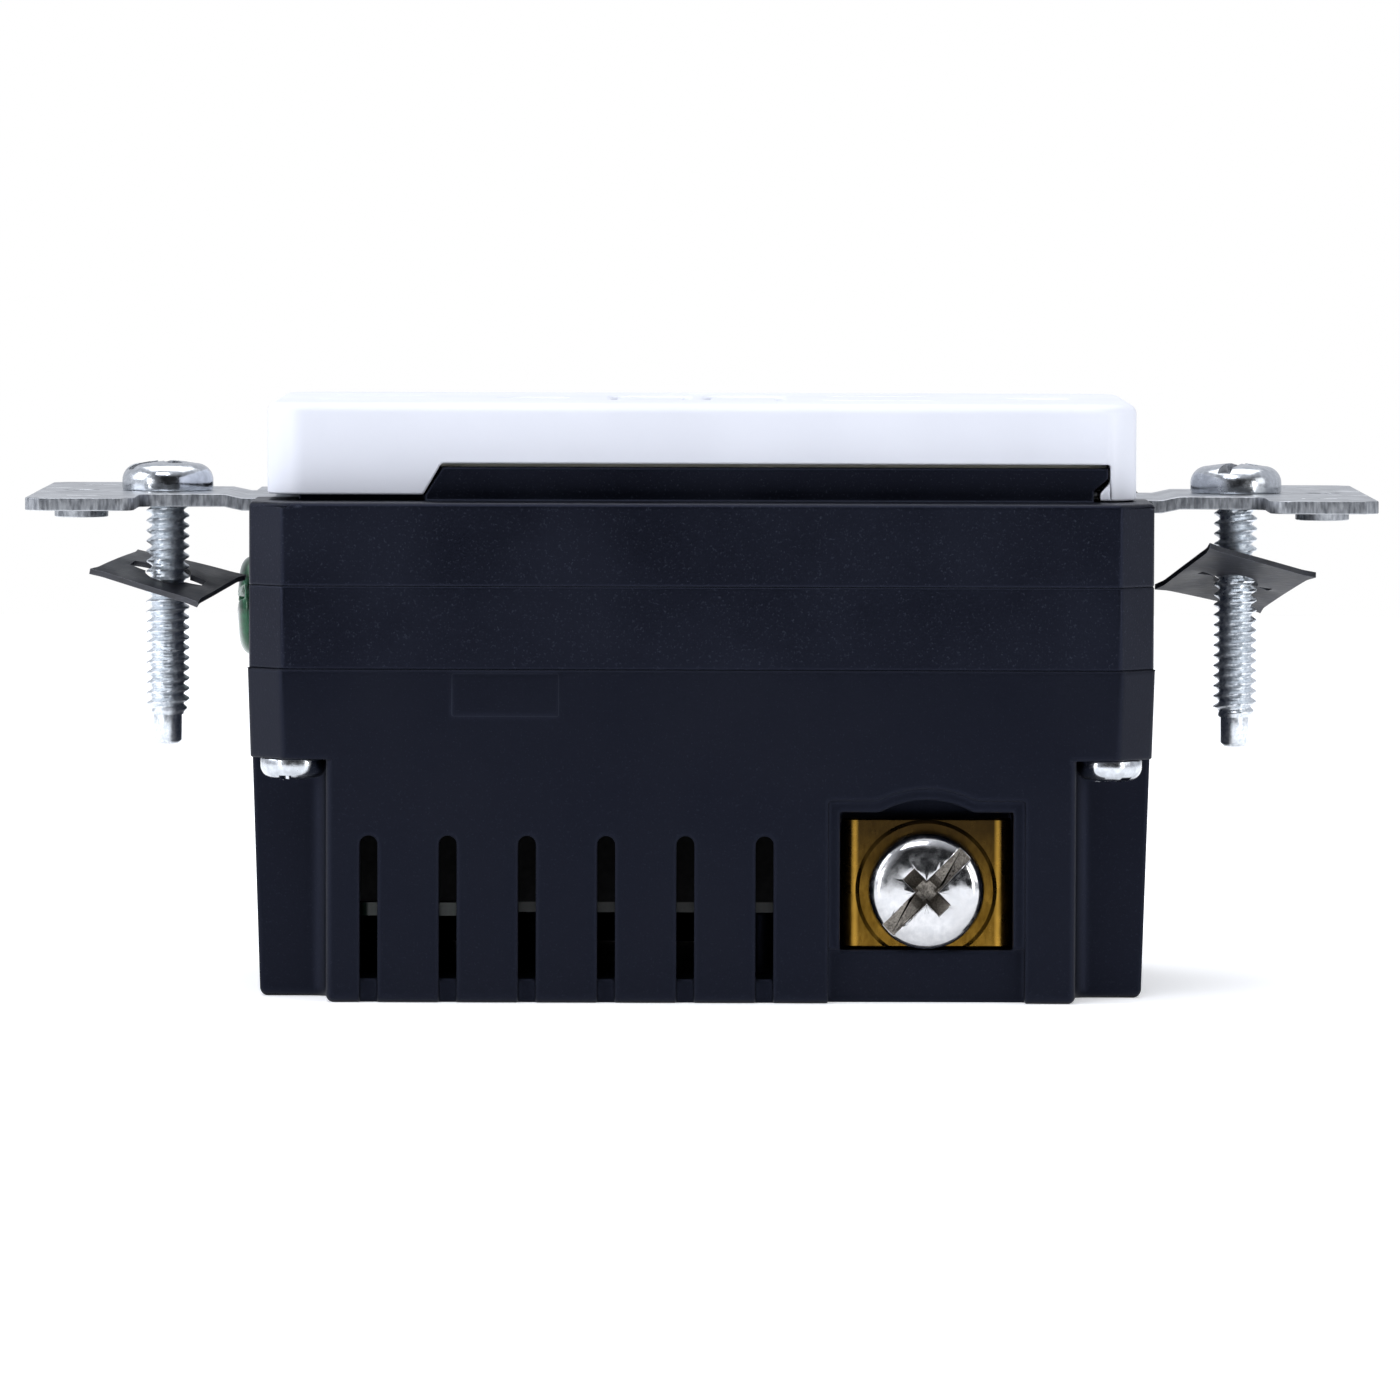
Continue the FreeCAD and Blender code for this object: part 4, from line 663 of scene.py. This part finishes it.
# 32 threads to the inch
thread_pitch = 0.794 * MM
for side, way in (("hot", 1), ("neutral", -1)):
    low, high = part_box(side + "_terminal_screw")
    outer_y = high[1] if way > 0 else low[1]
    shank_length = (high[1] - low[1]) - head_height
    recess = combination_recess(head_r, slot_width=1.15 * MM, slot_depth=0.85 * MM, cross_reach=2.1 * MM,
                                cross_width=1.25 * MM, cross_depth=1.7 * MM, turn=-45 * way)
    head = struck(pan_head(head_r, head_height), head_height, recess, screw_nickel, recess_nickel_shaded)
    shank = threaded(shank_r, shank_root_r, thread_pitch, -shank_length, shank_overlap, screw_nickel)
    screw = together(eased(head, head_ease), shank)
    aimed(screw, (terminal_at.x, outer_y - way * head_height, terminal_at.z), (0, way, 0))
    screw_slot = "brass_screw" if side == "hot" else "nickel_screw"
    piece(side + "_screw_plated", screw, screw_nickel, side + "_screw", screw_slot, side + "_terminal_screw")
    clamp = bent_clamp(side, way)
    piece(side + "_clamp_coined", clamp, clamp_brass, side + "_clamp", "brass", side + "_clamp_plate")
    node = side + "_terminal_plate"
    piece(side + "_plate_tapped", softened(node, metal_ease), strip_brass, "housing", "brass", node)

# ---- middle and upper housings ----
# Two more layers of the same black nylon, stacked on the back. They come from other moulds with a finer,
# glossier face, so they look a shade lighter than the back.
upper_nylon = moulded_nylon("moulded_black_nylon_fine_face", "05060B", "0A0C12", "2E323C", 0.38, 0.25 * MM)
for name, node in (("middle_layer", "middle_housing"), ("upper_layer", "upper_housing")):
    piece(name, softened(node, nylon_ease), upper_nylon, "housing", "housing_plastic", node)

# ---- mounting strap, ground contacts and ground screw ----
# A strip of hot-dip galvanised steel, blanked and bent, so its top is bright and cloudy with spangle and
# its cut edges are grey and torn in streaks through the thickness. The ground screw is steel, dyed green
# and lacquered.


def galvanised():
    """Zinc spangle on the flats, and streaks through the thickness on the sheared edges."""
    made, tree, shader, point = start_material("galvanised_steel_sheared", 0.34, 1.0)
    spangle = add(tree, "ShaderNodeTexVoronoi", {"Vector": point, "Scale": 1 / (1.6 * MM)}).outputs["Color"]
    spangle = add(tree, "ShaderNodeSeparateXYZ", {0: spangle}).outputs["X"]
    scuffs = noise(tree, point, 0.25 * MM, 4.0, (0.15, 1, 1))
    flat = blended(tree, between(tree, spangle, 0.0, 1.0, 0.0, 0.7), linear("9EA1A4"), linear("D3D6D9"))
    flat = blended(tree, between(tree, scuffs, 0.55, 0.7, 0.0, 0.6), flat, linear("6F7276"))
    torn = noise(tree, point, 0.3 * MM, 5.0, (1, 1, 0.25))
    edge = blended(tree, between(tree, torn, 0.35, 0.65, 0.0, 1.0), linear("6B6E73"), linear("A4A7AB"))
    normal = add(tree, "ShaderNodeNewGeometry").outputs["Normal"]
    upward = add(tree, "ShaderNodeMath", {0: add(tree, "ShaderNodeSeparateXYZ", {0: normal}).outputs["Z"]},
                 operation="ABSOLUTE").outputs[0]
    on_edge = between(tree, upward, 0.75, 0.35, 0.0, 1.0)
    tree.links.new(blended(tree, on_edge, flat, edge), shader.inputs["Base Color"])
    tree.links.new(between(tree, on_edge, 0.0, 1.0, 0.3, 0.5), shader.inputs["Roughness"])
    relief = add(tree, "ShaderNodeMix", {"Factor": on_edge, 2: scuffs, 3: torn}).outputs[0]
    height = add(tree, "ShaderNodeBump", {"Strength": 0.7, "Distance": 0.06 * MM, "Height": relief})
    tree.links.new(height.outputs["Normal"], shader.inputs["Normal"])
    return made


zinc_sheet = galvanised()
strap_mesh = softened("mounting_strap", metal_ease)
piece("strap_galvanised", strap_mesh, zinc_sheet, "housing", "galvanized_steel", "mounting_strap")
coat(strip_brass, "ground_contacts")
coat(mild_steel, "strap_rivets")


def dyed_screw():
    """Steel dyed green under a clear lacquer, worn back to bright metal on its edges."""
    made, tree, shader, point = start_material("green_dyed_steel_lacquered", 0.3, 0.75)
    clouds = noise(tree, point, 0.7 * MM, 4.0)
    tone = blended(tree, between(tree, clouds, 0.3, 0.7, 0.0, 1.0), linear("0C2E1D"), linear("1B5538"))
    tone = blended(tree, edge_wear_and_highlight(tree, 0.12 * MM), tone, linear("6E8577"))
    tree.links.new(tone, shader.inputs["Base Color"])
    shader.inputs["Coat Weight"].default_value = 0.5
    return made


low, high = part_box("ground_screw")
lug_head_r = 0.5 * (high[1] - low[1])
lug_head_height = 1.7 * MM
lug_shank_r = 1.95 * MM
lug_root_r = 1.55 * MM
recess = combination_recess(lug_head_r, slot_width=1.1 * MM, slot_depth=0.7 * MM, cross_reach=2.0 * MM,
                            cross_width=1.2 * MM, cross_depth=1.3 * MM, turn=20)
dyed = dyed_screw()
head = eased(struck(pan_head(lug_head_r, lug_head_height), lug_head_height, recess, dyed, dyed), 0.06 * MM)
lug_shank_end = -(high[0] - low[0] - lug_head_height)
shank = threaded(lug_shank_r, lug_root_r, thread_pitch, lug_shank_end, shank_overlap, dyed)
lug_at = (low[0] + lug_head_height, 0.5 * (low[1] + high[1]), 0.5 * (low[2] + high[2]))
screw = aimed(together(head, shank), lug_at, (-1, 0, 0))
piece("ground_screw_dyed", screw, dyed, "ground_screw", "green_screw", "ground_screw")

# ---- shutters ----
# Sliding shutters behind the blade slots, in a tray under the face. Dark acetal, moulded, slippery and half
# glossy. Each one has a wire spring that bears on the tray's wall.
acetal = plain_coating("moulded_acetal_grey", "5A5D62", "6A6D72", 0.35, 1.0 * MM)
coat(acetal, "left_shutter", "right_shutter")

for side in ("left", "right"):
    node = side + "_shutter_spring"
    low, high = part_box(node)
    coil = piece(node + "_coiled", merged(node), spring_steel, "housing", "spring_steel", node)
    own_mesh(coil)

# ---- buttons, reset pin and lamp ----
# The reset and test caps are moulded in white, like the cover, with a finer face. The lamp pipe is clear
# polycarbonate over a small light.


def satin_white(name, low, high, roughness):
    """White moulded plastic: nearly even, with a fine satin grain and a little light carried inside."""
    made, tree, shader, point = start_material(name, roughness, 0.0, 1.5)
    drift = noise(tree, point, 12 * MM, 2.0)
    # the real satin grain is about 0.03 mm, drawn at 0.12 mm so that it shows
    grain = noise(tree, point, 0.12 * MM, 2.0)
    tone = blended(tree, between(tree, drift, 0.3, 0.7, 0.0, 1.0), linear(low), linear(high))
    tree.links.new(tone, shader.inputs["Base Color"])
    gloss = between(tree, grain, 0.3, 0.7, roughness - 0.04, roughness + 0.06)
    tree.links.new(gloss, shader.inputs["Roughness"])
    height = add(tree, "ShaderNodeBump", {"Strength": 0.12, "Distance": 0.01 * MM, "Height": grain})
    tree.links.new(height.outputs["Normal"], shader.inputs["Normal"])
    shader.inputs["Subsurface Weight"].default_value = 0.08
    shader.inputs["Subsurface Radius"].default_value = (0.0012, 0.0012, 0.0012)
    return made


def clear_plastic():
    """Clear polycarbonate with faint flow marks."""
    made, tree, shader, point = start_material("clear_polycarbonate_polished", 0.08, 0.0, 1.585)
    flow = noise(tree, point, 0.5 * MM, 2.0, (1, 1, 0.3))
    tree.links.new(blended(tree, flow, linear("DDE3E6"), linear("F2F5F6")), shader.inputs["Base Color"])
    tree.links.new(between(tree, flow, 0.3, 0.7, 0.05, 0.14), shader.inputs["Roughness"])
    shader.inputs["Transmission Weight"].default_value = 0.85
    return made


def bendable(mesh, parts):
    """The mesh cut across X into this many parts."""
    work = bmesh.new()
    work.from_mesh(mesh)
    ends = [v.co.x for v in work.verts]
    for k in range(1, parts):
        at = min(ends) + (max(ends) - min(ends)) * k / parts
        every = work.verts[:] + work.edges[:] + work.faces[:]
        bmesh.ops.bisect_plane(work, geom=every, plane_co=(at, 0, 0), plane_no=(1, 0, 0))
    work.to_mesh(mesh)
    work.free()
    return mesh


button_white = satin_white("moulded_white_button_satin", "DADDE6", "E0E3EC", 0.4)
cap_ease = 0.1 * MM
for body in ("reset", "test"):
    node = body + "_button"
    piece(body + "_cap", softened(node, cap_ease), button_white, body, "cover_plastic", node)
coat(natural_nylon, "reset_pin")
node = "reset_spring"
low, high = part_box(node)
coil = piece(node + "_coiled", merged(node), spring_steel, "housing", "spring_steel", node)
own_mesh(coil)
node = "test_contact_leaf"
low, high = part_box(node)
leaf_parts = 24
leaf = piece("test_leaf_sprung", bendable(merged(node), leaf_parts), spring_steel, None, "copper", node)
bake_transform(leaf)
coat(clear_plastic(), "lamp_pipe")
coat(plain_coating("diffused_lamp_epoxy", "5E8F5A", "7BAE74", 0.3, 0.4 * MM), "indicator_lamp")

# ---- face cover ----
# The white face and its skirt: polycarbonate, moulded in a satin-finished mould, so highlights are broad
# and soft.
cover_white = satin_white("moulded_white_polycarbonate_satin", "DDE0E9", "E4E7F0", 0.36)
cover_ease = 0.18 * MM
cover_mesh = softened("face_cover", cover_ease)
piece("face_moulding", cover_mesh, cover_white, "housing", "cover_plastic", "face_cover")

# ---- case screws ----
# Four zinc-plated pan heads from below hold the layers together. They are cold headed and barrel plated, so
# they are bright but softly pitted, and each stopped at its own angle when it was driven.
zinc = worked_metal("zinc_plated_steel_screw", "B9BDC2", "D3D7DC", 0.19, 0.5 * MM, bump=0.08, spots="9DA1A7")
case_low, case_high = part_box("case_screws")
case_head_r = 2.5 * MM
case_head_height = 1.85 * MM
case_shank_r = 1.2 * MM
case_seat_drop = 6.83 * MM
case_head_z = tub_high[2] - case_seat_drop
case_shank_end = case_high[2] - case_head_z
case_point = 0.4 * MM
case_span = (case_high[0] - case_low[0] - 2 * case_head_r, case_high[1] - case_low[1] - 2 * case_head_r)


def set_at_corners():
    """A node tree that sets one screw at each corner of a rectangle, each turned about Z by its own angle."""
    tree, given = start_growth("set_at_corners", Along="Float", Across="Float", Screw="Object", Seed="Int",
                               Finish="Material")
    sizes = {"Size X": given["Along"], "Size Y": given["Across"], "Vertices X": 2, "Vertices Y": 2}
    corners = add(tree, "GeometryNodeMeshGrid", sizes).outputs["Mesh"]
    screw = add(tree, "GeometryNodeObjectInfo", {"Object": given["Screw"]}).outputs["Geometry"]
    spread = {2: 0.0, 3: 2 * math.pi, "Seed": given["Seed"]}
    angle = add(tree, "FunctionNodeRandomValue", spread, data_type="FLOAT").outputs[1]
    turn = add(tree, "ShaderNodeCombineXYZ", {"Z": angle}).outputs[0]
    turn = add(tree, "FunctionNodeEulerToRotation", {0: turn}).outputs[0]
    setting = {"Points": corners, "Instance": screw, "Rotation": turn}
    placed = add(tree, "GeometryNodeInstanceOnPoints", setting).outputs[0]
    return end_growth(tree, placed, given["Finish"])


recess = combination_recess(case_head_r, slot_width=0.9 * MM, slot_depth=0.5 * MM, cross_reach=1.5 * MM,
                            cross_width=0.9 * MM, cross_depth=1.2 * MM, turn=0)
head = struck(pan_head(case_head_r, case_head_height), case_head_height, recess, zinc, zinc)
head = aimed(eased(head, head_ease), (0, 0, 0), (0, 0, -1))
case_profile = [(0, -shank_overlap), (case_shank_r, -shank_overlap),
                (case_shank_r, case_shank_end - case_point),
                (case_shank_r - case_point, case_shank_end), (0, case_shank_end)]
shank = turned(case_profile, 24)
shank.materials.append(zinc)
pattern = held(together(head, shank), "case_screw_pattern")
case_screws = grown(set_at_corners(), {"Along": case_span[0], "Across": case_span[1], "Screw": pattern,
                                       "Seed": 4, "Finish": zinc})
bpy.data.objects.remove(pattern)
case_screws.transform(Matrix.Translation((0, 0, case_head_z)))
piece("case_screws_plated", case_screws, zinc, "housing", "zinc_screw", "case_screws")

# ---- box screws ----
# Two zinc-plated machine screws that hang in the strap's slots: pan heads with a combined recess, rolled
# threads of 32 to the inch, and a plain pilot point with a chamfer.
# the recess is rough from striking, and its darker tones are painted shade in the hollow
recess_zinc_shaded = worked_metal("struck_recess_zinc_painted_shade", "6F7277", "A3A7AC", 0.38, 0.12 * MM,
                           bump=0.5, spots="5E6166")
# the threads' zinc is a lighter copy of the heads' zinc: painted light on the threads
thread_zinc_lit = worked_metal("rolled_thread_zinc_painted_light", "C9D0D6", "F1F4F7", 0.36, 0.2 * MM,
                           bump=0.3, spots="A9B0B7")
box_head_height = 2.4 * MM
box_head_ease = 0.06 * MM
box_thread_r = 1.7 * MM
box_root_r = 1.24 * MM
point_length = 2.3 * MM
point_r = 1.1 * MM
point_chamfer = 0.3 * MM
point_buried = 0.4 * MM
point_taper = 0.1 * MM
for side, turn in (("left", 25), ("right", 70)):
    low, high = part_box(side + "_box_screw")
    r = 0.5 * (high[0] - low[0])
    seat = high[2] - box_head_height
    recess = combination_recess(r, slot_width=1.0 * MM, slot_depth=0.75 * MM, cross_reach=1.9 * MM,
                                cross_width=1.15 * MM, cross_depth=1.6 * MM, turn=turn)
    head = struck(pan_head(r, box_head_height), box_head_height, recess, zinc, recess_zinc_shaded)
    head = eased(head, box_head_ease)
    thread_end = low[2] - seat + point_length
    thread = threaded(box_thread_r, box_root_r, thread_pitch, thread_end, shank_overlap, thread_zinc_lit)
    tip = turned([(0, 0), (point_r - point_chamfer, 0), (point_r, point_chamfer), (point_r, point_length),
                  (point_r - point_taper, point_length + point_buried), (0, point_length + point_buried)], 28)
    tip.materials.append(thread_zinc_lit)
    tip.transform(Matrix.Translation((0, 0, low[2] - seat)))
    screw = together(head, thread, tip)
    screw.transform(Matrix.Translation((0.5 * (low[0] + high[0]), 0.5 * (low[1] + high[1]), seat)))
    piece(side + "_box_screw_plated", screw, zinc, side + "_box_screw", "zinc_screw", side + "_box_screw")

# ---- retainers ----
# Squares of hard black vulcanised fibre, punched and pressed over the threads, which bent them a little and
# pushed the lips of the slit apart. The fibre is paper-like, scuffed, and lighter where it is bent.
fibre_side = 8.8 * MM
fibre_thick = 0.45 * MM
fibre_corner_r = 0.9 * MM
slit_size = (6.2 * MM, 0.9 * MM)
fibre_hole_r = 1.78 * MM
lip_lift = 0.22 * MM
lip_reach = 1.3 * MM
lip_gap = 0.3 * MM


def vulcanised_fibre():
    """Matt grey-black board with long fibres, worn pale on its edges."""
    made, tree, shader, point = start_material("vulcanised_fibre_punched", 0.42)
    fibres = noise(tree, point, 0.2 * MM, 5.0, (0.2, 1, 1))
    clouds = noise(tree, point, 1.6 * MM, 3.0)
    tone = blended(tree, between(tree, clouds, 0.35, 0.65, 0.0, 1.0), linear("1A1B20"), linear("2C2E35"))
    tone = blended(tree, between(tree, fibres, 0.55, 0.75, 0.0, 0.6), tone, linear("44464F"))
    tone = blended(tree, edge_wear_and_highlight(tree, 0.1 * MM), tone, linear("5A5C64"))
    tree.links.new(tone, shader.inputs["Base Color"])
    tree.links.new(between(tree, clouds, 0.3, 0.7, 0.36, 0.52), shader.inputs["Roughness"])
    height = add(tree, "ShaderNodeBump", {"Strength": 0.4, "Distance": 0.05 * MM, "Height": fibres})
    tree.links.new(height.outputs["Normal"], shader.inputs["Normal"])
    return made


def punched_square(lifts):
    """A square with a hole and a slit. lifts bend its corners, and the thread pushes the slit's lips open."""
    work = bmesh.new()
    bmesh.ops.create_grid(work, x_segments=28, y_segments=28, size=fibre_side / 2)
    mesh = bpy.data.meshes.new("square")
    work.to_mesh(mesh)
    work.free()
    holder = held(mesh, "square")
    wall = holder.modifiers.new("Wall", "SOLIDIFY")
    wall.thickness = fibre_thick
    wall.offset = 0
    plug = held(turned([(0, -MM), (fibre_hole_r, -MM), (fibre_hole_r, MM), (0, MM)], 40), "plug")
    blade = held(prong(slit_size[0] / 2, slit_size[1], MM, 1.0), "blade")
    for tool in (plug, blade):
        cut = holder.modifiers.new("Punch", "BOOLEAN")
        cut.operation = "DIFFERENCE"
        cut.solver = "EXACT"
        cut.object = tool
    made = baked(holder)
    for tool in (plug, blade):
        bpy.data.objects.remove(tool)
    for corner in made.vertices:
        past = [abs(v) - (fibre_side / 2 - fibre_corner_r) for v in corner.co[:2]]
        if min(past) > 0 and math.hypot(*past) > fibre_corner_r:
            for k in (0, 1):
                out = past[k] * fibre_corner_r / math.hypot(*past) - past[k]
                corner.co[k] += math.copysign(out, corner.co[k])
        x, y = corner.co.x, corner.co.y
        for (sx, sy), lift in zip(((-1, -1), (1, -1), (1, 1), (-1, 1)), lifts):
            share = max(0.0, 0.5 + sx * x / fibre_side) * max(0.0, 0.5 + sy * y / fibre_side)
            corner.co.z += lift * share ** 1.5
        near = math.exp(-((math.hypot(x, y) - fibre_hole_r) / lip_reach) ** 2)
        corner.co.z += lip_lift * near * math.tanh(y / lip_gap)
    return made


fibre = vulcanised_fibre()
# which way each square's upper face looks, how far it leans and how it is turned on the thread, in degrees,
# and how far its corners are bent up
hung = (("left", -56.5, 20.8, -20.0, (0.0, 0.2 * MM, 0.0, -0.8 * MM)),
        ("right", 83.1, 24.1, 24.0, (0.1 * MM, -0.35 * MM, -0.25 * MM, -0.2 * MM)))
for side, faces, lean, turn, lifts in hung:
    low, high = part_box(side + "_retainer")
    away = math.radians(faces)
    tilt = Matrix.Rotation(math.radians(lean), 4, Vector((-math.sin(away), math.cos(away), 0)))
    square = punched_square(lifts)
    square.shade_smooth()
    square.set_sharp_from_angle(angle=math.radians(40))
    screw_low, screw_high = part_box(side + "_box_screw")
    centre = (0.5 * (screw_low[0] + screw_high[0]), 0.0, 0.5 * (low[2] + high[2]))
    square.transform(Matrix.Translation(centre) @ tilt @ Matrix.Rotation(math.radians(turn), 4, "Z"))
    piece(side + "_retainer_fibre", square, fibre, side + "_retainer", "fibre", side + "_retainer")

# ---- studio ----
# The object stands on a pale backlit sheet. A broad soft light hangs above and behind, weaker ones stand at
# the sides and high in front, and the room in front is dim, so that black faces stay dark and metal has
# something dark to reflect.
floor_z = cad_box[0][2]
floor_r = 0.45
floor_y = 0.16


def round_sheet():
    """A flat disc on the floor's height, in rings."""
    steps = 96
    work = bmesh.new()
    rings = [circle(work, r, floor_z, steps, floor_y) for r in (0.02, 0.1, 0.25, floor_r)]
    work.faces.new(rings[0])
    for low, high in zip(rings, rings[1:]):
        for k in range(steps):
            work.faces.new((low[k], high[k], high[(k + 1) % steps], low[(k + 1) % steps]))
    mesh = bpy.data.meshes.new("sheet")
    work.to_mesh(mesh)
    work.free()
    return mesh


acrylic, acrylic_tree, acrylic_shader, acrylic_point = start_material("matt_white_acrylic_backlit", 0.9)
acrylic_haze = noise(acrylic_tree, acrylic_point, 0.05, 2.0)
acrylic_tone = blended(acrylic_tree, acrylic_haze, linear("F4F5F7"), linear("F9FAFB"))
acrylic_tree.links.new(acrylic_tone, acrylic_shader.inputs["Base Color"])
acrylic_shader.inputs["Specular IOR Level"].default_value = 0.1
acrylic_shader.inputs["Emission Color"].default_value = linear("FFFFFF")
acrylic_shader.inputs["Emission Strength"].default_value = 0.35
sheet = held(round_sheet(), "floor_sheet")
sheet.data.materials.append(acrylic)


def soft_light(name, place, aim, size, watts, tint="FFFFFF"):
    """A square soft box at place, facing aim."""
    lamp = bpy.data.lights.new(name, "AREA")
    lamp.shape = "RECTANGLE"
    lamp.size, lamp.size_y = size
    lamp.energy = watts
    lamp.color = linear(tint)[:3]
    made = bpy.data.objects.new(name, lamp)
    made.location = place
    made.rotation_euler = (Vector(aim) - Vector(place)).to_track_quat("-Z", "Y").to_euler()
    bpy.context.collection.objects.link(made)


soft_light("top_light", (0.0, 0.12, 0.75), (0, 0, 0), (0.9, 0.7), 3.2)
soft_light("left_light", (-0.75, -0.15, 0.35), (0, 0, -0.01), (0.5, 0.5), 2.5, "F6F8FF")
soft_light("right_light", (0.8, -0.35, 0.3), (0, 0, -0.01), (0.35, 0.5), 0.8)
soft_light("front_light", (-0.2, -0.6, 0.8), (0, 0, -0.01), (0.5, 0.3), 2.9, "F6F8FF")
soft_light("left_strip", (-0.55, -0.5, 0.0), (0, 0, -0.01), (0.07, 0.4), 0.9)
soft_light("right_strip", (0.55, -0.5, 0.0), (0, 0, -0.01), (0.07, 0.4), 1.2)

world = bpy.data.worlds.new("room")
bpy.context.scene.world = world
world.use_nodes = True
sky = world.node_tree
direction = add(sky, "ShaderNodeTexCoord").outputs["Generated"]
along = add(sky, "ShaderNodeSeparateXYZ", {0: direction})
depth = between(sky, along.outputs["Y"], -0.75, 0.1, 0.03, 0.75)
lift = between(sky, along.outputs["Z"], 0.5, 0.9, 0.0, 0.75)
left = between(sky, along.outputs["X"], -0.3, -0.8, 0.0, 0.8)
right = between(sky, along.outputs["X"], 0.55, 0.95, 0.0, 0.5)
glow = add(sky, "ShaderNodeMath", {0: depth, 1: lift}, operation="MAXIMUM").outputs[0]
glow = add(sky, "ShaderNodeMath", {0: glow, 1: left}, operation="MAXIMUM").outputs[0]
glow = add(sky, "ShaderNodeMath", {0: glow, 1: right}, operation="MAXIMUM").outputs[0]
tint = blended(sky, glow, linear("000000"), linear("F4F7FF"))
seen = add(sky, "ShaderNodeLightPath").outputs["Is Camera Ray"]
sky.links.new(blended(sky, seen, tint, linear("FFFFFF")), sky.nodes["Background"].inputs["Color"])

camera = bpy.data.objects.new("camera", bpy.data.cameras.new("camera"))
camera.data.lens = 257.1
camera.data.sensor_width = 36.0
camera.data.clip_end = 20.0
camera.location = (-0.0001, -0.780, 0.0283)
camera_tilt = Matrix.Rotation(math.radians(86.8), 3, "X")
camera_roll = Matrix.Rotation(math.radians(0.16), 3, "Z")
camera.rotation_euler = (camera_tilt @ camera_roll).to_euler()
bpy.context.collection.objects.link(camera)
bpy.context.scene.camera = camera
bpy.context.scene.view_settings.view_transform = "Standard"
